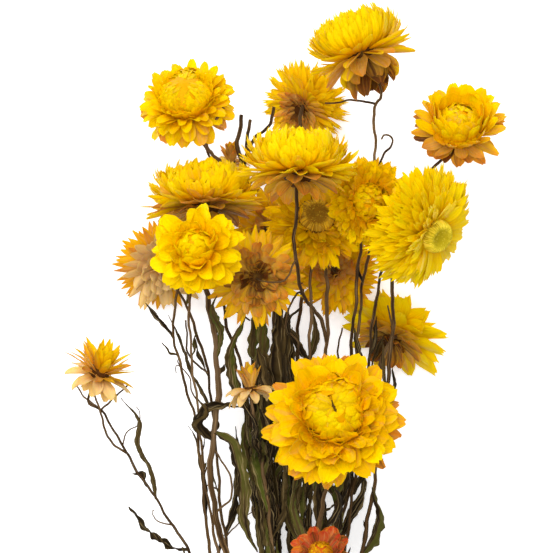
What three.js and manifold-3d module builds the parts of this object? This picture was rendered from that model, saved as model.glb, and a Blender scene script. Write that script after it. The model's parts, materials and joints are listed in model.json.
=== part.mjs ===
// A tied bunch of dried strawflowers, lying on its side. Lengths are millimetres.
// +Y runs along the stems towards the heads, +Z is up from the surface it lies on.
// Each head is one solid of papery bracts fused to their receptacle, and each stem is one solid with its
// side twigs and dried leaves. Twine holds the stems. The bunch lies on its lowest heads and one cut end.
import * as THREE from "three";
import { mergeVertices } from "three/addons/utils/BufferGeometryUtils.js";
import Module from "manifold-3d";

const wasm = await Module();
wasm.setup();

const joinGap = 0.3; // clearance where a head sits on its stem, and between twine and stems
const bladeThickness = 0.8; // a bract or leaf at its midrib
const bladeCup = 0.25; // rise of a blade's edges over its middle, as a share of its half-width
const tie = { y: -85, z: 16.4, pitch: 3.4, twine: 2, wraps: 3, sides: 12 };
const wrapCrown = 50; // degrees either side of a wrap's outermost line where its flat top ends
const knot = { radius: 2.6, width: 1.2, height: 0.7 };
const tieRun = 8; // a stem runs straight for this far on either side of the tie
const stemRadius = { cut: 1.65, tie: 1.35, middle: 1.05, neck: 0.95, twig: 0.55 };
const twigTaper = 0.4;
const stemSides = 5;
const twigSides = 3;
const coreSides = 8;
const splay = 2.26; // how far the cut ends spread, against their places in the tie
const cutLength = { shortest: 84, longest: 104 }; // from the tie down to the cut ends
const neckRun = 8; // the last straight run of a stem into its head
const stray = 0.45; // how far a straight run of a stem may leave its true path
const pathSamples = 200;
const underside = { width: 600, length: 900, depth: 200 };

const colours = {
  yellow: [0.93, 0.66, 0.03],
  orange: [0.83, 0.45, 0.04],
  rust: [0.72, 0.25, 0.06],
  disc: [0.62, 0.55, 0.08],
  stem: [0.2, 0.14, 0.08],
  twine: [0.55, 0.42, 0.26],
};

// Rows of bracts, from the innermost to the outermost, in shares of the head's radius. A row of blades has
// its roots at r and h, and its lean and curl are the slopes at root and tip, in degrees above the head's
// own plane. A row of teeth is a frill: bracts that overlap at their sides as far out as their notches.
const bunCore = [[0, -0.34], [0.1, -0.34], [0.38, -0.06], [0.34, 0.14], [0, 0.26]];
const bunRows = [
  { teeth: 7, h: -0.02, lean: 38, curl: 130, length: 0.86, notch: 0.72 },
  { blades: 7, r: 0.26, h: -0.06, lean: 56, curl: 22, length: 0.64, width: 0.4 },
  { teeth: 14, h: -0.12, lean: 12, curl: -6, length: 1.04, notch: 0.78 },
];
const budCore = [[0, -0.4], [0.12, -0.4], [0.4, -0.06], [0.3, 0.24], [0, 0.34]];
const kinds = {
  bun: { core: bunCore, rows: bunRows },
  skirted: {
    core: bunCore,
    rows: [...bunRows, { teeth: 7, h: -0.2, lean: -14, curl: -34, length: 1, notch: 0.62 }],
  },
  fan: {
    core: [[0, -0.34], [0.09, -0.34], [0.33, -0.1], [0.26, 0.14], [0, 0.22]],
    rows: [
      { teeth: 8, h: -0.04, lean: 62, curl: 104, length: 0.88, notch: 0.74 },
      { teeth: 11, h: -0.1, lean: 38, curl: 46, length: 1, notch: 0.76 },
      { teeth: 13, h: -0.14, lean: 12, curl: 12, length: 1.04, notch: 0.78 },
      { teeth: 8, h: -0.2, lean: -20, curl: -44, length: 0.78, notch: 0.64 },
    ],
  },
  open: {
    core: [[0, -0.1], [0.09, -0.1], [0.34, 0.12], [0.34, 0.26], [0, 0.26]],
    disc: [[0, 0.275], [0.3, 0.275], [0.34, 0.33], [0.24, 0.4], [0.1, 0.38], [0, 0.33]],
    rows: [
      { teeth: 13, h: 0.2, lean: 4, curl: -16, length: 0.9, notch: 0.7 },
      { teeth: 17, h: 0.14, lean: -8, curl: -26, length: 1.08, notch: 0.78 },
      { teeth: 9, h: 0.06, lean: -24, curl: -46, length: 0.92, notch: 0.64 },
    ],
  },
  cup: {
    core: [[0, -0.36], [0.1, -0.36], [0.34, -0.1], [0.26, 0.14], [0, 0.2]],
    rows: [
      { blades: 3, r: 0.18, h: 0.02, lean: 76, curl: 84, length: 0.5, width: 0.44 },
      { teeth: 8, h: -0.14, lean: 32, curl: 26, length: 0.88, notch: 0.66 },
      { teeth: 11, h: -0.2, lean: -2, curl: -22, length: 1.04, notch: 0.7 },
    ],
  },
  bud: {
    core: budCore,
    rows: [
      { teeth: 5, h: -0.02, lean: 66, curl: 96, length: 0.86, notch: 0.66 },
      { teeth: 9, h: -0.14, lean: 36, curl: 26, length: 1.02, notch: 0.66 },
      { teeth: 6, h: -0.24, lean: -14, curl: -40, length: 0.9, notch: 0.64 },
    ],
  },
  tuft: {
    core: budCore,
    rows: [
      { teeth: 6, h: -0.12, lean: 56, curl: 62, length: 1.06, notch: 0.66 },
      { teeth: 6, h: -0.24, lean: -10, curl: -40, length: 1.04, notch: 0.64 },
    ],
  },
};
const fold = 0.62; // where a frill's bract bends from its lean to its curl, as a share of its length

// Widths along a single bract from its root, in shares of its full width. It is pointed after the last.
const bractShape = [{ along: 0, share: 0.3 }, { along: 0.68, share: 1 }];
const bractSteps = 25;

// How far the bracts of a row stray from one another, in shares of a step round the head and of their
// length, with lean in degrees and lift in shares of the head's radius. They end short more than long.
const frillWander = { turn: 0.3, reach: 0.16, lift: 0.14 };
const bractWander = { turn: 0.3, reach: 0.16, lean: 14 };
const evenly = 0.5;
const shortish = 0.6;
const pleat = 0.5; // how far a frill dips between its bracts
const leafShape = [0.3, 0.9, 1, 0.65]; // widths at even steps from root to tip
const headSeed = { first: 101, step: 17 };
const cutSeed = 7;

// at is the middle of a head's rim, faces the way it looks.
const heads = {
  a: { at: [-41, 179.5, 62], faces: [-0.12, 0.5, 0.85], across: 40, kind: "bun", tone: "yellow" },
  b: { at: [7, 183, 9.2], faces: [0.15, 0.4, -0.9], across: 35, kind: "cup", tone: "orange" },
  c: { at: [31, 200, 66], faces: [-0.33, 0.92, -0.2], across: 46, kind: "fan", tone: "yellow" },
  d: { at: [67.5, 171, 58], faces: [0.1, 0.55, 0.83], across: 39, kind: "skirted", tone: "yellow" },
  e: { at: [-34, 142, 58], faces: [-0.05, 0.97, -0.2], across: 50, kind: "fan", tone: "yellow" },
  f: { at: [3, 154, 100], faces: [0.02, 0.98, -0.15], across: 49, kind: "fan", tone: "yellow" },
  g: { at: [-37, 121, 108], faces: [-0.15, 0.25, 0.95], across: 37, kind: "bun", tone: "yellow" },
  h: { at: [53, 129.5, 88], faces: [0.62, -0.36, 0.7], across: 49, kind: "open", tone: "yellow" },
  i: { at: [10, 132, 48], faces: [0.1, 0.45, 0.88], across: 42, kind: "open", tone: "yellow" },
  j: { at: [30, 140, 67], faces: [0.35, -0.05, 0.93], across: 34, kind: "bun", tone: "yellow" },
  k: { at: [-5.6, 129, 27.6], faces: [0.3, 0, -0.95], across: 36, kind: "cup", tone: "orange" },
  l: { at: [-14, 111, 72], faces: [-0.15, 0.15, -0.97], across: 38, kind: "cup", tone: "yellow" },
  m: { at: [-52, 116, 10.6], faces: [-0.3, 0.45, -0.84], across: 37, kind: "cup", tone: "orange" },
  n: { at: [20, 111, 22], faces: [0.35, -0.3, -0.88], across: 33, kind: "cup", tone: "orange" },
  o: { at: [46, 89, 10.9], faces: [0.3, 0.25, -0.92], across: 43, kind: "cup", tone: "yellow" },
  p: { at: [17, 53, 112], faces: [0, 0.12, 0.99], across: 54, kind: "skirted", tone: "yellow" },
  q: { at: [-76, 73, 54], faces: [0.35, 0.85, 0.3], across: 31, kind: "bud", tone: "orange" },
  r: { at: [-16, 66, 68], faces: [-0.1, 0.95, 0.1], across: 19, kind: "tuft", tone: "orange" },
  s: { at: [12, 1, 93], faces: [0, 0.45, 0.88], across: 25, kind: "bud", tone: "rust" },
  t: { at: [-24, 157, 20], faces: [0, 0.85, 0.4], across: 16, kind: "tuft", tone: "orange" },
};

// Each stem carries the head of its name. slot is its ring and angle in the tie, and girth its thickness
// against stemRadius. A side branch names what it grows on in place of a slot, and comes after it. through
// lists the points a stem passes on its way to the head.
const stems = {
  q: {
    slot: [2, 180], girth: 0.75,
    through: [[-22, -40, 26], [-41, 0, 33], [-54, 21, 39], [-66, 40, 45], [-75, 56, 49]],
  },
  e: {
    slot: [2, 210], girth: 0.8,
    through: [[-20, -40, 21], [-32.5, 1, 27], [-35, 25, 31], [-38, 52, 36], [-44, 74, 41], [-47, 92, 47],
      [-43, 110, 54]],
  },
  a: {
    slot: [1, 180], girth: 0.8,
    through: [[-17, -45, 24], [-33, 20, 36], [-37, 57, 44], [-40, 84, 49], [-40, 104, 50], [-36, 124, 42],
      [-29, 140, 31], [-26, 150, 30], [-33, 160, 35]],
  },
  m: {
    slot: [2, 240], girth: 0.9,
    through: [[-14, -45, 18], [-27, 10, 26], [-30, 45, 32], [-34, 76, 35], [-42, 99, 32]],
  },
  g: {
    slot: [2, 150], girth: 1.1,
    through: [[-14, -40, 30], [-26.5, 1, 38], [-31.5, 25, 44], [-31.5, 40, 47], [-29, 60, 51],
      [-29.5, 80, 58], [-32, 98, 66], [-34.5, 110, 82]],
  },
  r: { slot: [2, 120], girth: 1, through: [[-5, -40, 31], [-7, 0, 40], [-11, 35, 52]] },
  t: {
    slot: [1, 120], girth: 0.9,
    through: [[-5, -40, 25], [-10, 10, 35], [-15, 45, 45], [-20, 76, 49], [-25, 90, 47], [-27, 104, 41],
      [-26, 130, 24]],
  },
  s: { slot: [2, 90], girth: 0.9, through: [[5, -50, 44], [10, -22, 68]] },
  p: { slot: [1, 60], girth: 1, through: [[3, -45, 31], [9, 0, 58], [14, 24, 76], [16.5, 41, 90]] },
  n: {
    slot: [2, 60], girth: 1.15,
    through: [[8, -45, 28], [11, 0, 39], [13, 45, 50], [14.4, 80, 56], [15, 92, 55], [14.8, 106, 46]],
  },
  f: {
    on: "n", girth: 0.85,
    through: [[14.4, 84, 56], [12.4, 94, 62], [6.8, 100, 74], [3.4, 110, 83], [1.6, 124, 90]],
  },
  l: { on: "f", girth: 0.7, through: [[2.6, 117, 86.5], [-3, 109, 90]] },
  j: {
    slot: [2, 30], girth: 1,
    through: [[15, -20, 33], [20, 30, 42], [24, 75, 47], [27, 110, 52], [28, 130, 56]],
  },
  h: {
    slot: [2, 0], girth: 1.1,
    through: [[18, -45, 26], [29, 0, 38], [35, 36, 48], [38.5, 65, 55], [41, 90, 61], [41, 108, 65],
      [40, 125, 69]],
  },
  c: {
    slot: [1, 0], girth: 0.9,
    through: [[12, -40, 24], [20, 20, 34], [26, 70, 40], [29, 105, 43], [33, 130, 48], [34, 160, 52],
      [34, 178, 60]],
  },
  d: {
    slot: [2, 330], girth: 0.9,
    through: [[16, -40, 20], [25, 20, 29], [31, 70, 34], [36, 108, 38], [44, 130, 42], [54, 150, 42]],
  },
  o: { slot: [2, 300], girth: 1, through: [[11, -40, 14], [23, 20, 20], [32, 60, 25], [37, 76, 29]] },
  i: {
    slot: [0, 0], girth: 0.95,
    through: [[3, -40, 24], [6, 20, 33], [8, 80, 40], [8.5, 104, 38], [8.5, 118, 36]],
  },
  k: { slot: [1, 240], girth: 1, through: [[-3, -40, 14], [-5, 20, 22], [-6, 80, 30], [-7, 110, 41]] },
  b: {
    slot: [2, 270], girth: 0.9,
    through: [[0, -40, 7], [2, 20, 6], [3, 80, 6], [6, 120, 8], [6, 145, 16], [4, 162, 24]],
  },
};

// Dried leaves, from the stem they grow on to their tip. The first point is moved onto the stem itself.
// twist is the turn along the leaf, in degrees.
const leaves = [
  { on: "q", width: 3.4, twist: 70, path: [[-66, 40, 45], [-74, 47, 49], [-77, 56, 52], [-81, 64, 55]] },
  {
    on: "q", width: 3, twist: -80,
    path: [[-54, 21, 39], [-56, 33, 43], [-62, 44, 47], [-61, 52, 49], [-68, 62, 47]],
  },
  { on: "q", width: 4.4, twist: 120, path: [[-41, 0, 33], [-50, 3, 35], [-58, 9, 37], [-65, 18, 38]] },
  { on: "e", width: 2.6, twist: 50, path: [[-46, 86, 44], [-52, 93, 45], [-58, 100, 46]] },
  { on: "e", width: 4, twist: 80, path: [[-33, 10, 29], [-38, 20, 24], [-41, 34, 22], [-39, 48, 24]] },
  { on: "m", width: 2.4, twist: 90, path: [[-31, 55, 33], [-37, 68, 34], [-43, 82, 34], [-49, 95, 31]] },
  { on: "m", width: 4.4, twist: 100, path: [[-27, 5, 25], [-22, 18, 21], [-20, 34, 20], [-22, 50, 22]] },
  { on: "g", width: 5, twist: 100, path: [[-31, 45, 48], [-36, 50, 54], [-33, 57, 58], [-37, 62, 59]] },
  { on: "g", width: 4, twist: 60, path: [[-29.5, 78, 57], [-27, 88, 64], [-31, 97, 75], [-29, 103, 78]] },
  {
    on: "g", width: 5, twist: 70,
    path: [[-31, 48, 49], [-23, 44, 54], [-19, 28, 54], [-18, 11, 53], [-13, 0, 50]],
  },
  { on: "t", width: 5.6, twist: 40, path: [[-16, 56, 46], [-22, 66, 53], [-23, 80, 58], [-18, 94, 60]] },
  { on: "t", width: 6, twist: 70, path: [[-11, 20, 37], [-15, 32, 36], [-17, 46, 36], [-15, 60, 37]] },
  { on: "r", width: 8.4, twist: 40, path: [[-10, 30, 50], [-7, 48, 56], [-8, 66, 62], [-13, 82, 63]] },
  { on: "r", width: 5, twist: 80, path: [[-7, 5, 41], [-2, 16, 46], [-1, 32, 50], [-4, 44, 52]] },
  { on: "k", width: 6, twist: 90, path: [[-6, 40, 25], [-12, 50, 26], [-13, 66, 27], [-15, 84, 26]] },
  { on: "k", width: 5, twist: -70, path: [[-5, 0, 20], [-12, 12, 20], [-15, 26, 22], [-12, 40, 22]] },
  { on: "k", width: 5, twist: 60, path: [[-5.5, 50, 27], [-1, 60, 24], [2, 74, 21], [1, 90, 18]] },
  { on: "i", width: 6.4, twist: 60, path: [[7, 34, 35], [1, 46, 41], [-1, 62, 44], [-2, 80, 45]] },
  { on: "i", width: 4, twist: 80, path: [[8, 76, 40], [3, 84, 46], [0, 92, 49], [5, 99, 50]] },
  { on: "i", width: 5, twist: 60, path: [[5, 2, 30], [0, 14, 31], [-1, 28, 34], [2, 40, 36]] },
  { on: "b", width: 5, twist: 90, path: [[2, 16, 6], [-5, 26, 10], [-9, 42, 12], [-6, 58, 13]] },
  { on: "b", width: 5, twist: 60, path: [[3, 60, 6], [8, 72, 9], [11, 86, 11], [9, 98, 11]] },
  { on: "n", width: 5, twist: 70, path: [[12, 22, 45], [17, 34, 49], [19, 48, 52], [17, 62, 54]] },
  { on: "j", width: 5, twist: 70, path: [[22, 50, 44], [28, 60, 47], [29, 74, 50], [26, 90, 54]] },
  { on: "c", width: 5, twist: 60, path: [[20, 18, 34], [15, 30, 34], [13, 46, 36], [16, 60, 38]] },
  { on: "c", width: 3, twist: 90, path: [[34, 150, 51], [37, 158, 53], [42, 164, 56], [37, 168, 58]] },
  { on: "h", width: 5.4, twist: 60, path: [[29, -4, 37], [35, 6, 42], [36, 18, 46], [33, 26, 49]] },
  { on: "h", width: 3, twist: 80, path: [[38, 62, 54], [42, 66, 58], [41, 74, 61]] },
  { on: "h", width: 4, twist: 70, path: [[22, -30, 31], [30, -24, 33], [36, -12, 33]] },
  { on: "d", width: 4.4, twist: 80, path: [[25, 22, 29], [31, 34, 32], [34, 50, 33], [32, 62, 32]] },
  { on: "o", width: 4.4, twist: 60, path: [[19, 0, 18], [24, 12, 16], [30, 24, 16], [28, 38, 15]] },
  { on: "p", width: 4.4, twist: 60, path: [[10, 2, 59], [16, 10, 66], [20, 20, 71], [17, 28, 74]] },
  { on: "p", width: 4.4, twist: 70, path: [[9, -2, 57], [4, 10, 58], [2, 24, 59], [4, 36, 62]] },
  { on: "a", width: 2.4, twist: 70, path: [[-30, 156, 32], [-24, 163, 37], [-20, 170, 40]] },
  { on: "s", width: 4, twist: 60, path: [[7, -36, 57], [2, -26, 62], [1, -12, 67], [5, -2, 71]] },
];

// Thin dry side shoots and tendrils, likewise.
const twigs = [
  { on: "q", path: [[-75, 57, 49], [-81, 61, 40], [-87, 68, 38]] },
  { on: "q", path: [[-76, 57, 49], [-71, 62, 44], [-65, 67, 42]] },
  { on: "g", path: [[-29, 60, 51], [-24, 59, 56], [-18, 58, 59]] },
  { on: "g", path: [[-28.5, 15, 41], [-24, 22, 44], [-24.5, 32, 47], [-31, 42, 47]] },
  { on: "m", path: [[-34, 72, 36], [-41, 80, 38], [-42, 93, 37]] },
  { on: "t", path: [[-26, 97, 44], [-21, 96, 50], [-16, 93, 53]] },
  { on: "i", path: [[8, 70, 39], [3, 76, 45], [3, 84, 51], [0, 88, 53]] },
  { on: "f", path: [[7, 99, 73], [4, 104, 84], [0, 100, 89], [-2, 90, 87]] },
  { on: "j", path: [[24, 66, 46], [19.5, 80, 49], [21, 90, 50]] },
  { on: "h", path: [[40.5, 90, 61], [39, 99, 66]] },
  { on: "c", path: [[34, 181, 61], [24, 181, 57], [14, 180, 56]] },
  { on: "b", path: [[5, 150, 23], [-2, 160, 30], [-8, 173, 34], [-6, 179, 36]] },
  { on: "t", path: [[-26, 135, 21], [-19, 146, 20], [-18.5, 156, 24], [-20, 175, 27]] },
];

const toVector = (p) => new THREE.Vector3(...p);
const radians = THREE.MathUtils.degToRad;

// A small repeatable random source, so that every build gives the same bunch.
function randomFrom(seed) {
  let state = seed;
  return () => {
    state = (state * 16807) % 2147483647;
    return state / 2147483647;
  };
}

// A closed three.js geometry as a manifold solid that faces out.
function solidOf(geometry) {
  const bare = new THREE.BufferGeometry().setAttribute("position", geometry.getAttribute("position"));
  if (geometry.index) bare.setIndex(geometry.index);
  const merged = mergeVertices(bare, 1e-3);
  const vertProperties = new Float32Array(merged.attributes.position.array);
  const triVerts = new Uint32Array(merged.index.array);
  const made = new wasm.Manifold(new wasm.Mesh({ numProp: 3, vertProperties, triVerts }));
  if (made.volume() > 0) return made;
  return new wasm.Manifold(new wasm.Mesh({ numProp: 3, vertProperties, triVerts: triVerts.reverse() }));
}

// The largest body of a solid. This fills what fusing seals, and drops loose scraps.
function mainBody(solid) {
  return solid.decompose().reduce((best, body) => (body.volume() > best.volume() ? body : best));
}

function geometryOf(solid) {
  const mesh = solid.getMesh();
  const geometry = new THREE.BufferGeometry();
  geometry.setAttribute("position", new THREE.BufferAttribute(new Float32Array(mesh.vertProperties), 3));
  geometry.setIndex(new THREE.BufferAttribute(new Uint32Array(mesh.triVerts), 1));
  return geometry;
}

const fuse = (solids) => solids.reduce((all, next) => all.add(next));

// A closed skin over rings of equal point count. The last ring may be a single point.
function skin(rings) {
  const sides = rings[0].length;
  const last = rings.length - 1;
  const pointed = rings[last].length === 1;
  const faces = [];
  for (let ring = 0; ring < (pointed ? last - 1 : last); ring++) {
    for (let side = 0; side < sides; side++) {
      const a = ring * sides + side;
      const b = ring * sides + ((side + 1) % sides);
      faces.push(a, b, b + sides, a, b + sides, a + sides);
    }
  }
  for (let side = 1; side < sides - 1; side++) {
    faces.push(0, side + 1, side);
    if (!pointed) faces.push(last * sides, last * sides + side, last * sides + side + 1);
  }
  if (pointed) {
    const rim = (last - 1) * sides;
    for (let side = 0; side < sides; side++) faces.push(rim + side, rim + ((side + 1) % sides), last * sides);
  }
  const geometry = new THREE.BufferGeometry().setFromPoints(rings.flat());
  geometry.setIndex(faces);
  return geometry;
}

// A pointed blade of three-cornered section: hollow between its edges, with a rib along its back.
function blade(stations, tip) {
  const rings = stations.map(({ middle, across, up, half }) => [
    middle.clone().addScaledVector(across, -half).addScaledVector(up, half * bladeCup),
    middle.clone().addScaledVector(across, half).addScaledVector(up, half * bladeCup),
    middle.clone().addScaledVector(up, -bladeThickness),
  ]);
  return skin([...rings, [tip]]);
}

// One bract of a row, in the head's own frame.
function makeBract(row, radius, heading, change) {
  const out = new THREE.Vector3(Math.cos(heading), Math.sin(heading), 0);
  const across = new THREE.Vector3(-Math.sin(heading), Math.cos(heading), 0);
  const axis = new THREE.Vector3(0, 0, 1);
  const length = row.length * radius * (1 + change.length);
  const middle = out.clone().multiplyScalar(row.r * radius).setZ(row.h * radius);
  const stations = [];
  for (let step = 0; step < bractSteps; step++) {
    const along = step / bractSteps;
    const slope = radians(row.lean + change.lean + (row.curl - row.lean) * along);
    const station = bractShape[stations.length];
    if (station && along >= station.along) {
      const half = (station.share * row.width * radius) / 2;
      const up = axis.clone().multiplyScalar(Math.cos(slope)).addScaledVector(out, -Math.sin(slope));
      stations.push({ middle: middle.clone(), across, up, half });
    }
    middle.addScaledVector(out, (Math.cos(slope) * length) / bractSteps);
    middle.addScaledVector(axis, (Math.sin(slope) * length) / bractSteps);
  }
  return blade(stations, middle);
}

// Takes a head's own frame, which looks along +Z, to where the head is.
function placeOf(head) {
  const looking = new THREE.Vector3(0, 0, 1);
  const turn = new THREE.Quaternion().setFromUnitVectors(looking, toVector(head.faces).normalize());
  return new THREE.Matrix4().compose(toVector(head.at), turn, new THREE.Vector3(1, 1, 1));
}

// A frill of bracts, each folded along its midrib, in the head's own frame. Its underside runs flat from
// notch to notch, or follows the midribs too where the bracts curl inwards.
function makeFrill(row, radius, random) {
  const length = row.length * radius;
  const lean = radians(row.lean);
  const curl = radians(row.curl);
  const bend = new THREE.Vector2(Math.cos(lean), Math.sin(lean)).multiplyScalar(length * fold);
  const curled = new THREE.Vector2(Math.cos(curl), Math.sin(curl));
  const tip = bend.clone().addScaledVector(curled, length * (1 - fold));
  const notch = bend.clone().lerp(tip, (row.notch - fold) / (1 - fold));
  const incurved = row.curl > row.lean;
  const inwards = new THREE.Vector2(-Math.sin(lean), Math.cos(lean));
  const centre = row.h * radius;
  const at = (heading, { x, y }, sink) => {
    const out = x - inwards.x * sink;
    return new THREE.Vector3(Math.cos(heading) * out, Math.sin(heading) * out, centre + y - inwards.y * sink);
  };
  const start = random() * Math.PI * 2;
  const middles = [new THREE.Vector3(0, 0, centre), new THREE.Vector3(0, 0, centre - bladeThickness)];
  const points = [...middles];
  const faces = [];
  for (let n = 0; n < row.teeth; n++) {
    const wander = (random() - evenly) * frillWander.turn;
    const reach = 1 + (random() - shortish) * frillWander.reach;
    const lift = (random() - evenly) * frillWander.lift * radius;
    const heading = start + ((n + wander) / row.teeth) * Math.PI * 2;
    const between = start + ((n + 0.5) / row.teeth) * Math.PI * 2;
    const ended = tip.clone().multiplyScalar(reach).addScaledVector(inwards, lift);
    const tooth = [
      at(heading, bend, 0),
      at(heading, bend, bladeThickness),
      at(heading, ended, 0),
      at(between, notch, pleat),
      at(between, notch, pleat + bladeThickness),
    ];
    const before = middles.length + ((n + row.teeth - 1) % row.teeth) * tooth.length;
    const [lastCleft, lastUnder] = [before + 3, before + 4];
    const [rib, under, end, cleft, cleftUnder] = tooth.map((_, k) => points.length + k);
    points.push(...tooth);
    faces.push(0, rib, cleft, 0, lastCleft, rib, rib, end, cleft, lastCleft, end, rib);
    faces.push(end, cleftUnder, cleft, end, lastCleft, lastUnder);
    if (incurved) {
      faces.push(under, cleftUnder, end, lastUnder, under, end, 1, cleftUnder, under, 1, under, lastUnder);
    } else {
      faces.push(lastUnder, cleftUnder, end, 1, cleftUnder, lastUnder);
    }
  }
  const geometry = new THREE.BufferGeometry().setFromPoints(points);
  geometry.setIndex(faces);
  return geometry;
}

function makeBladeRow(row, radius, random) {
  const start = random() * Math.PI * 2;
  return Array.from({ length: row.blades }, (_, n) => {
    const heading = start + ((n + (random() - evenly) * bractWander.turn) / row.blades) * Math.PI * 2;
    const lean = (random() - evenly) * bractWander.lean;
    const length = (random() - shortish) * bractWander.reach;
    return makeBract(row, radius, heading, { lean, length });
  });
}

function makeHead(head, seed) {
  const random = randomFrom(seed);
  const radius = head.across / 2;
  const kind = kinds[head.kind];
  const place = placeOf(head);
  const profile = kind.core.map(([r, h]) => new THREE.Vector2(r * radius, h * radius));
  const pieces = [new THREE.LatheGeometry(profile, coreSides).rotateX(Math.PI / 2)];
  for (const row of kind.rows) {
    if (row.teeth) pieces.push(makeFrill(row, radius, random));
    else pieces.push(...makeBladeRow(row, radius, random));
  }
  return fuse(pieces.map((piece) => solidOf(piece.applyMatrix4(place))));
}

// The florets in the middle of an open head, seated on its core.
function makeDisc(head) {
  const radius = head.across / 2;
  const profile = kinds[head.kind].disc.map(([r, h]) => new THREE.Vector2(r * radius, h * radius));
  const disc = new THREE.LatheGeometry(profile, coreSides).rotateX(Math.PI / 2);
  return solidOf(disc.applyMatrix4(placeOf(head)));
}

// The point under a head where its stem ends, and the way the stem runs there.
function neckOf(head) {
  const way = toVector(head.faces).normalize();
  const depth = kinds[head.kind].core[0][1] * (head.across / 2) - joinGap;
  return { way, point: toVector(head.at).addScaledVector(way, depth) };
}

function slotOf([ring, angle]) {
  const reach = ring * tie.pitch;
  return new THREE.Vector3(Math.cos(radians(angle)) * reach, tie.y, tie.z + Math.sin(radians(angle)) * reach);
}

const smooth = (points) => new THREE.CatmullRomCurve3(points, false, "centripetal");
const samplesOf = (curve) => curve.getPoints(pathSamples);

// The way along a curve, with sections only where a straight run would leave it.
function sectionsAlong(curve) {
  const samples = samplesOf(curve);
  const kept = [0];
  for (let n = 2; n <= pathSamples; n++) {
    const last = kept[kept.length - 1];
    const run = new THREE.Line3(samples[last], samples[n]);
    const gapTo = (p) => run.closestPointToPoint(p, true, new THREE.Vector3()).distanceTo(p);
    if (samples.slice(last + 1, n).some((p) => gapTo(p) > stray)) kept.push(n - 1);
  }
  kept.push(pathSamples);
  return kept.map((n) => ({ point: samples[n], way: curve.getTangent(n / pathSamples) }));
}

// A tube along a curve. radiusAt gives its radius at a point and at a share of its sections.
function tube(curve, sides, radiusAt) {
  const kept = sectionsAlong(curve);
  let side = new THREE.Vector3(0, 0, 1);
  const rings = kept.map(({ point, way }, index) => {
    side = side.clone().addScaledVector(way, -side.dot(way)).normalize();
    const other = way.clone().cross(side);
    const radius = radiusAt(point, index / (kept.length - 1));
    return Array.from({ length: sides }, (_, n) => {
      const angle = (n / sides) * Math.PI * 2;
      const offset = side.clone().multiplyScalar(Math.cos(angle) * radius);
      return point.clone().add(offset.addScaledVector(other, Math.sin(angle) * radius));
    });
  });
  return solidOf(skin(rings));
}

// A path's points, with its first moved to the nearest place on the curve it grows from.
function grownFrom(curve, path) {
  const points = path.map(toVector);
  const nearest = (best, p) => (p.distanceTo(points[0]) < best.distanceTo(points[0]) ? p : best);
  return [samplesOf(curve).reduce(nearest), ...points.slice(1)];
}

// A stem is thickest at its cut end and thins towards its head.
function stemThickness(point) {
  const { cut, tie: held, middle, neck } = stemRadius;
  const { mapLinear, clamp } = THREE.MathUtils;
  if (point.y < tie.y) return mapLinear(point.y, tie.y - cutLength.longest, tie.y, cut, held);
  if (point.y < 0) return mapLinear(point.y, tie.y, 0, held, middle);
  return clamp(mapLinear(point.y, 0, 120, middle, neck), neck, middle);
}

// The way up from the cut end and through the tie.
function lowerPath(stem, cutShare) {
  const slot = slotOf(stem.slot);
  const centre = new THREE.Vector3(0, tie.y, tie.z);
  const cutAt = tie.y - THREE.MathUtils.lerp(cutLength.shortest, cutLength.longest, cutShare);
  const end = slot.clone().sub(centre).multiplyScalar(splay).add(centre).setY(cutAt);
  return [end, slot.clone().setY(tie.y - tieRun), slot.clone().setY(tie.y + tieRun)];
}

function headward(name, points) {
  const neck = neckOf(heads[name]);
  return smooth([...points, neck.point.clone().addScaledVector(neck.way, -neckRun), neck.point]);
}

function makeLeaf(leaf, stemCurve) {
  const curve = smooth(grownFrom(stemCurve, leaf.path));
  const steps = leafShape.length;
  let across = new THREE.Vector3(1, 0, 0);
  const stations = leafShape.map((share, index) => {
    const way = curve.getTangent(index / steps);
    across.applyAxisAngle(way, index === 0 ? 0 : radians(leaf.twist) / (steps - 1));
    across = across.addScaledVector(way, -across.dot(way)).normalize();
    const middle = curve.getPoint(index / steps);
    return { middle, across: across.clone(), up: way.clone().cross(across), half: (share * leaf.width) / 2 };
  });
  return solidOf(blade(stations, curve.getPoint(1)));
}

function makeTwig(twig, stemCurve) {
  const curve = smooth(grownFrom(stemCurve, twig.path));
  return tube(curve, twigSides, (_, share) => stemRadius.twig * (1 - share * twigTaper));
}

// A stem with its side branches, and every leaf and twig that grows on these.
function makeStem(name, stem, cutShare) {
  const curves = { [name]: headward(name, [...lowerPath(stem, cutShare), ...stem.through.map(toVector)]) };
  for (const [branchName, branch] of Object.entries(stems)) {
    const carrier = curves[branch.on];
    if (carrier) curves[branchName] = headward(branchName, grownFrom(carrier, branch.through));
  }
  const thicknessOn = (grownName) => (point) => stemThickness(point) * stems[grownName].girth;
  const grownHere = ({ on }) => on in curves;
  return fuse([
    ...Object.entries(curves).map(([grownName, curve]) => tube(curve, stemSides, thicknessOn(grownName))),
    ...leaves.filter(grownHere).map((leaf) => makeLeaf(leaf, curves[leaf.on])),
    ...twigs.filter(grownHere).map((twig) => makeTwig(twig, curves[twig.on])),
  ]);
}

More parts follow.
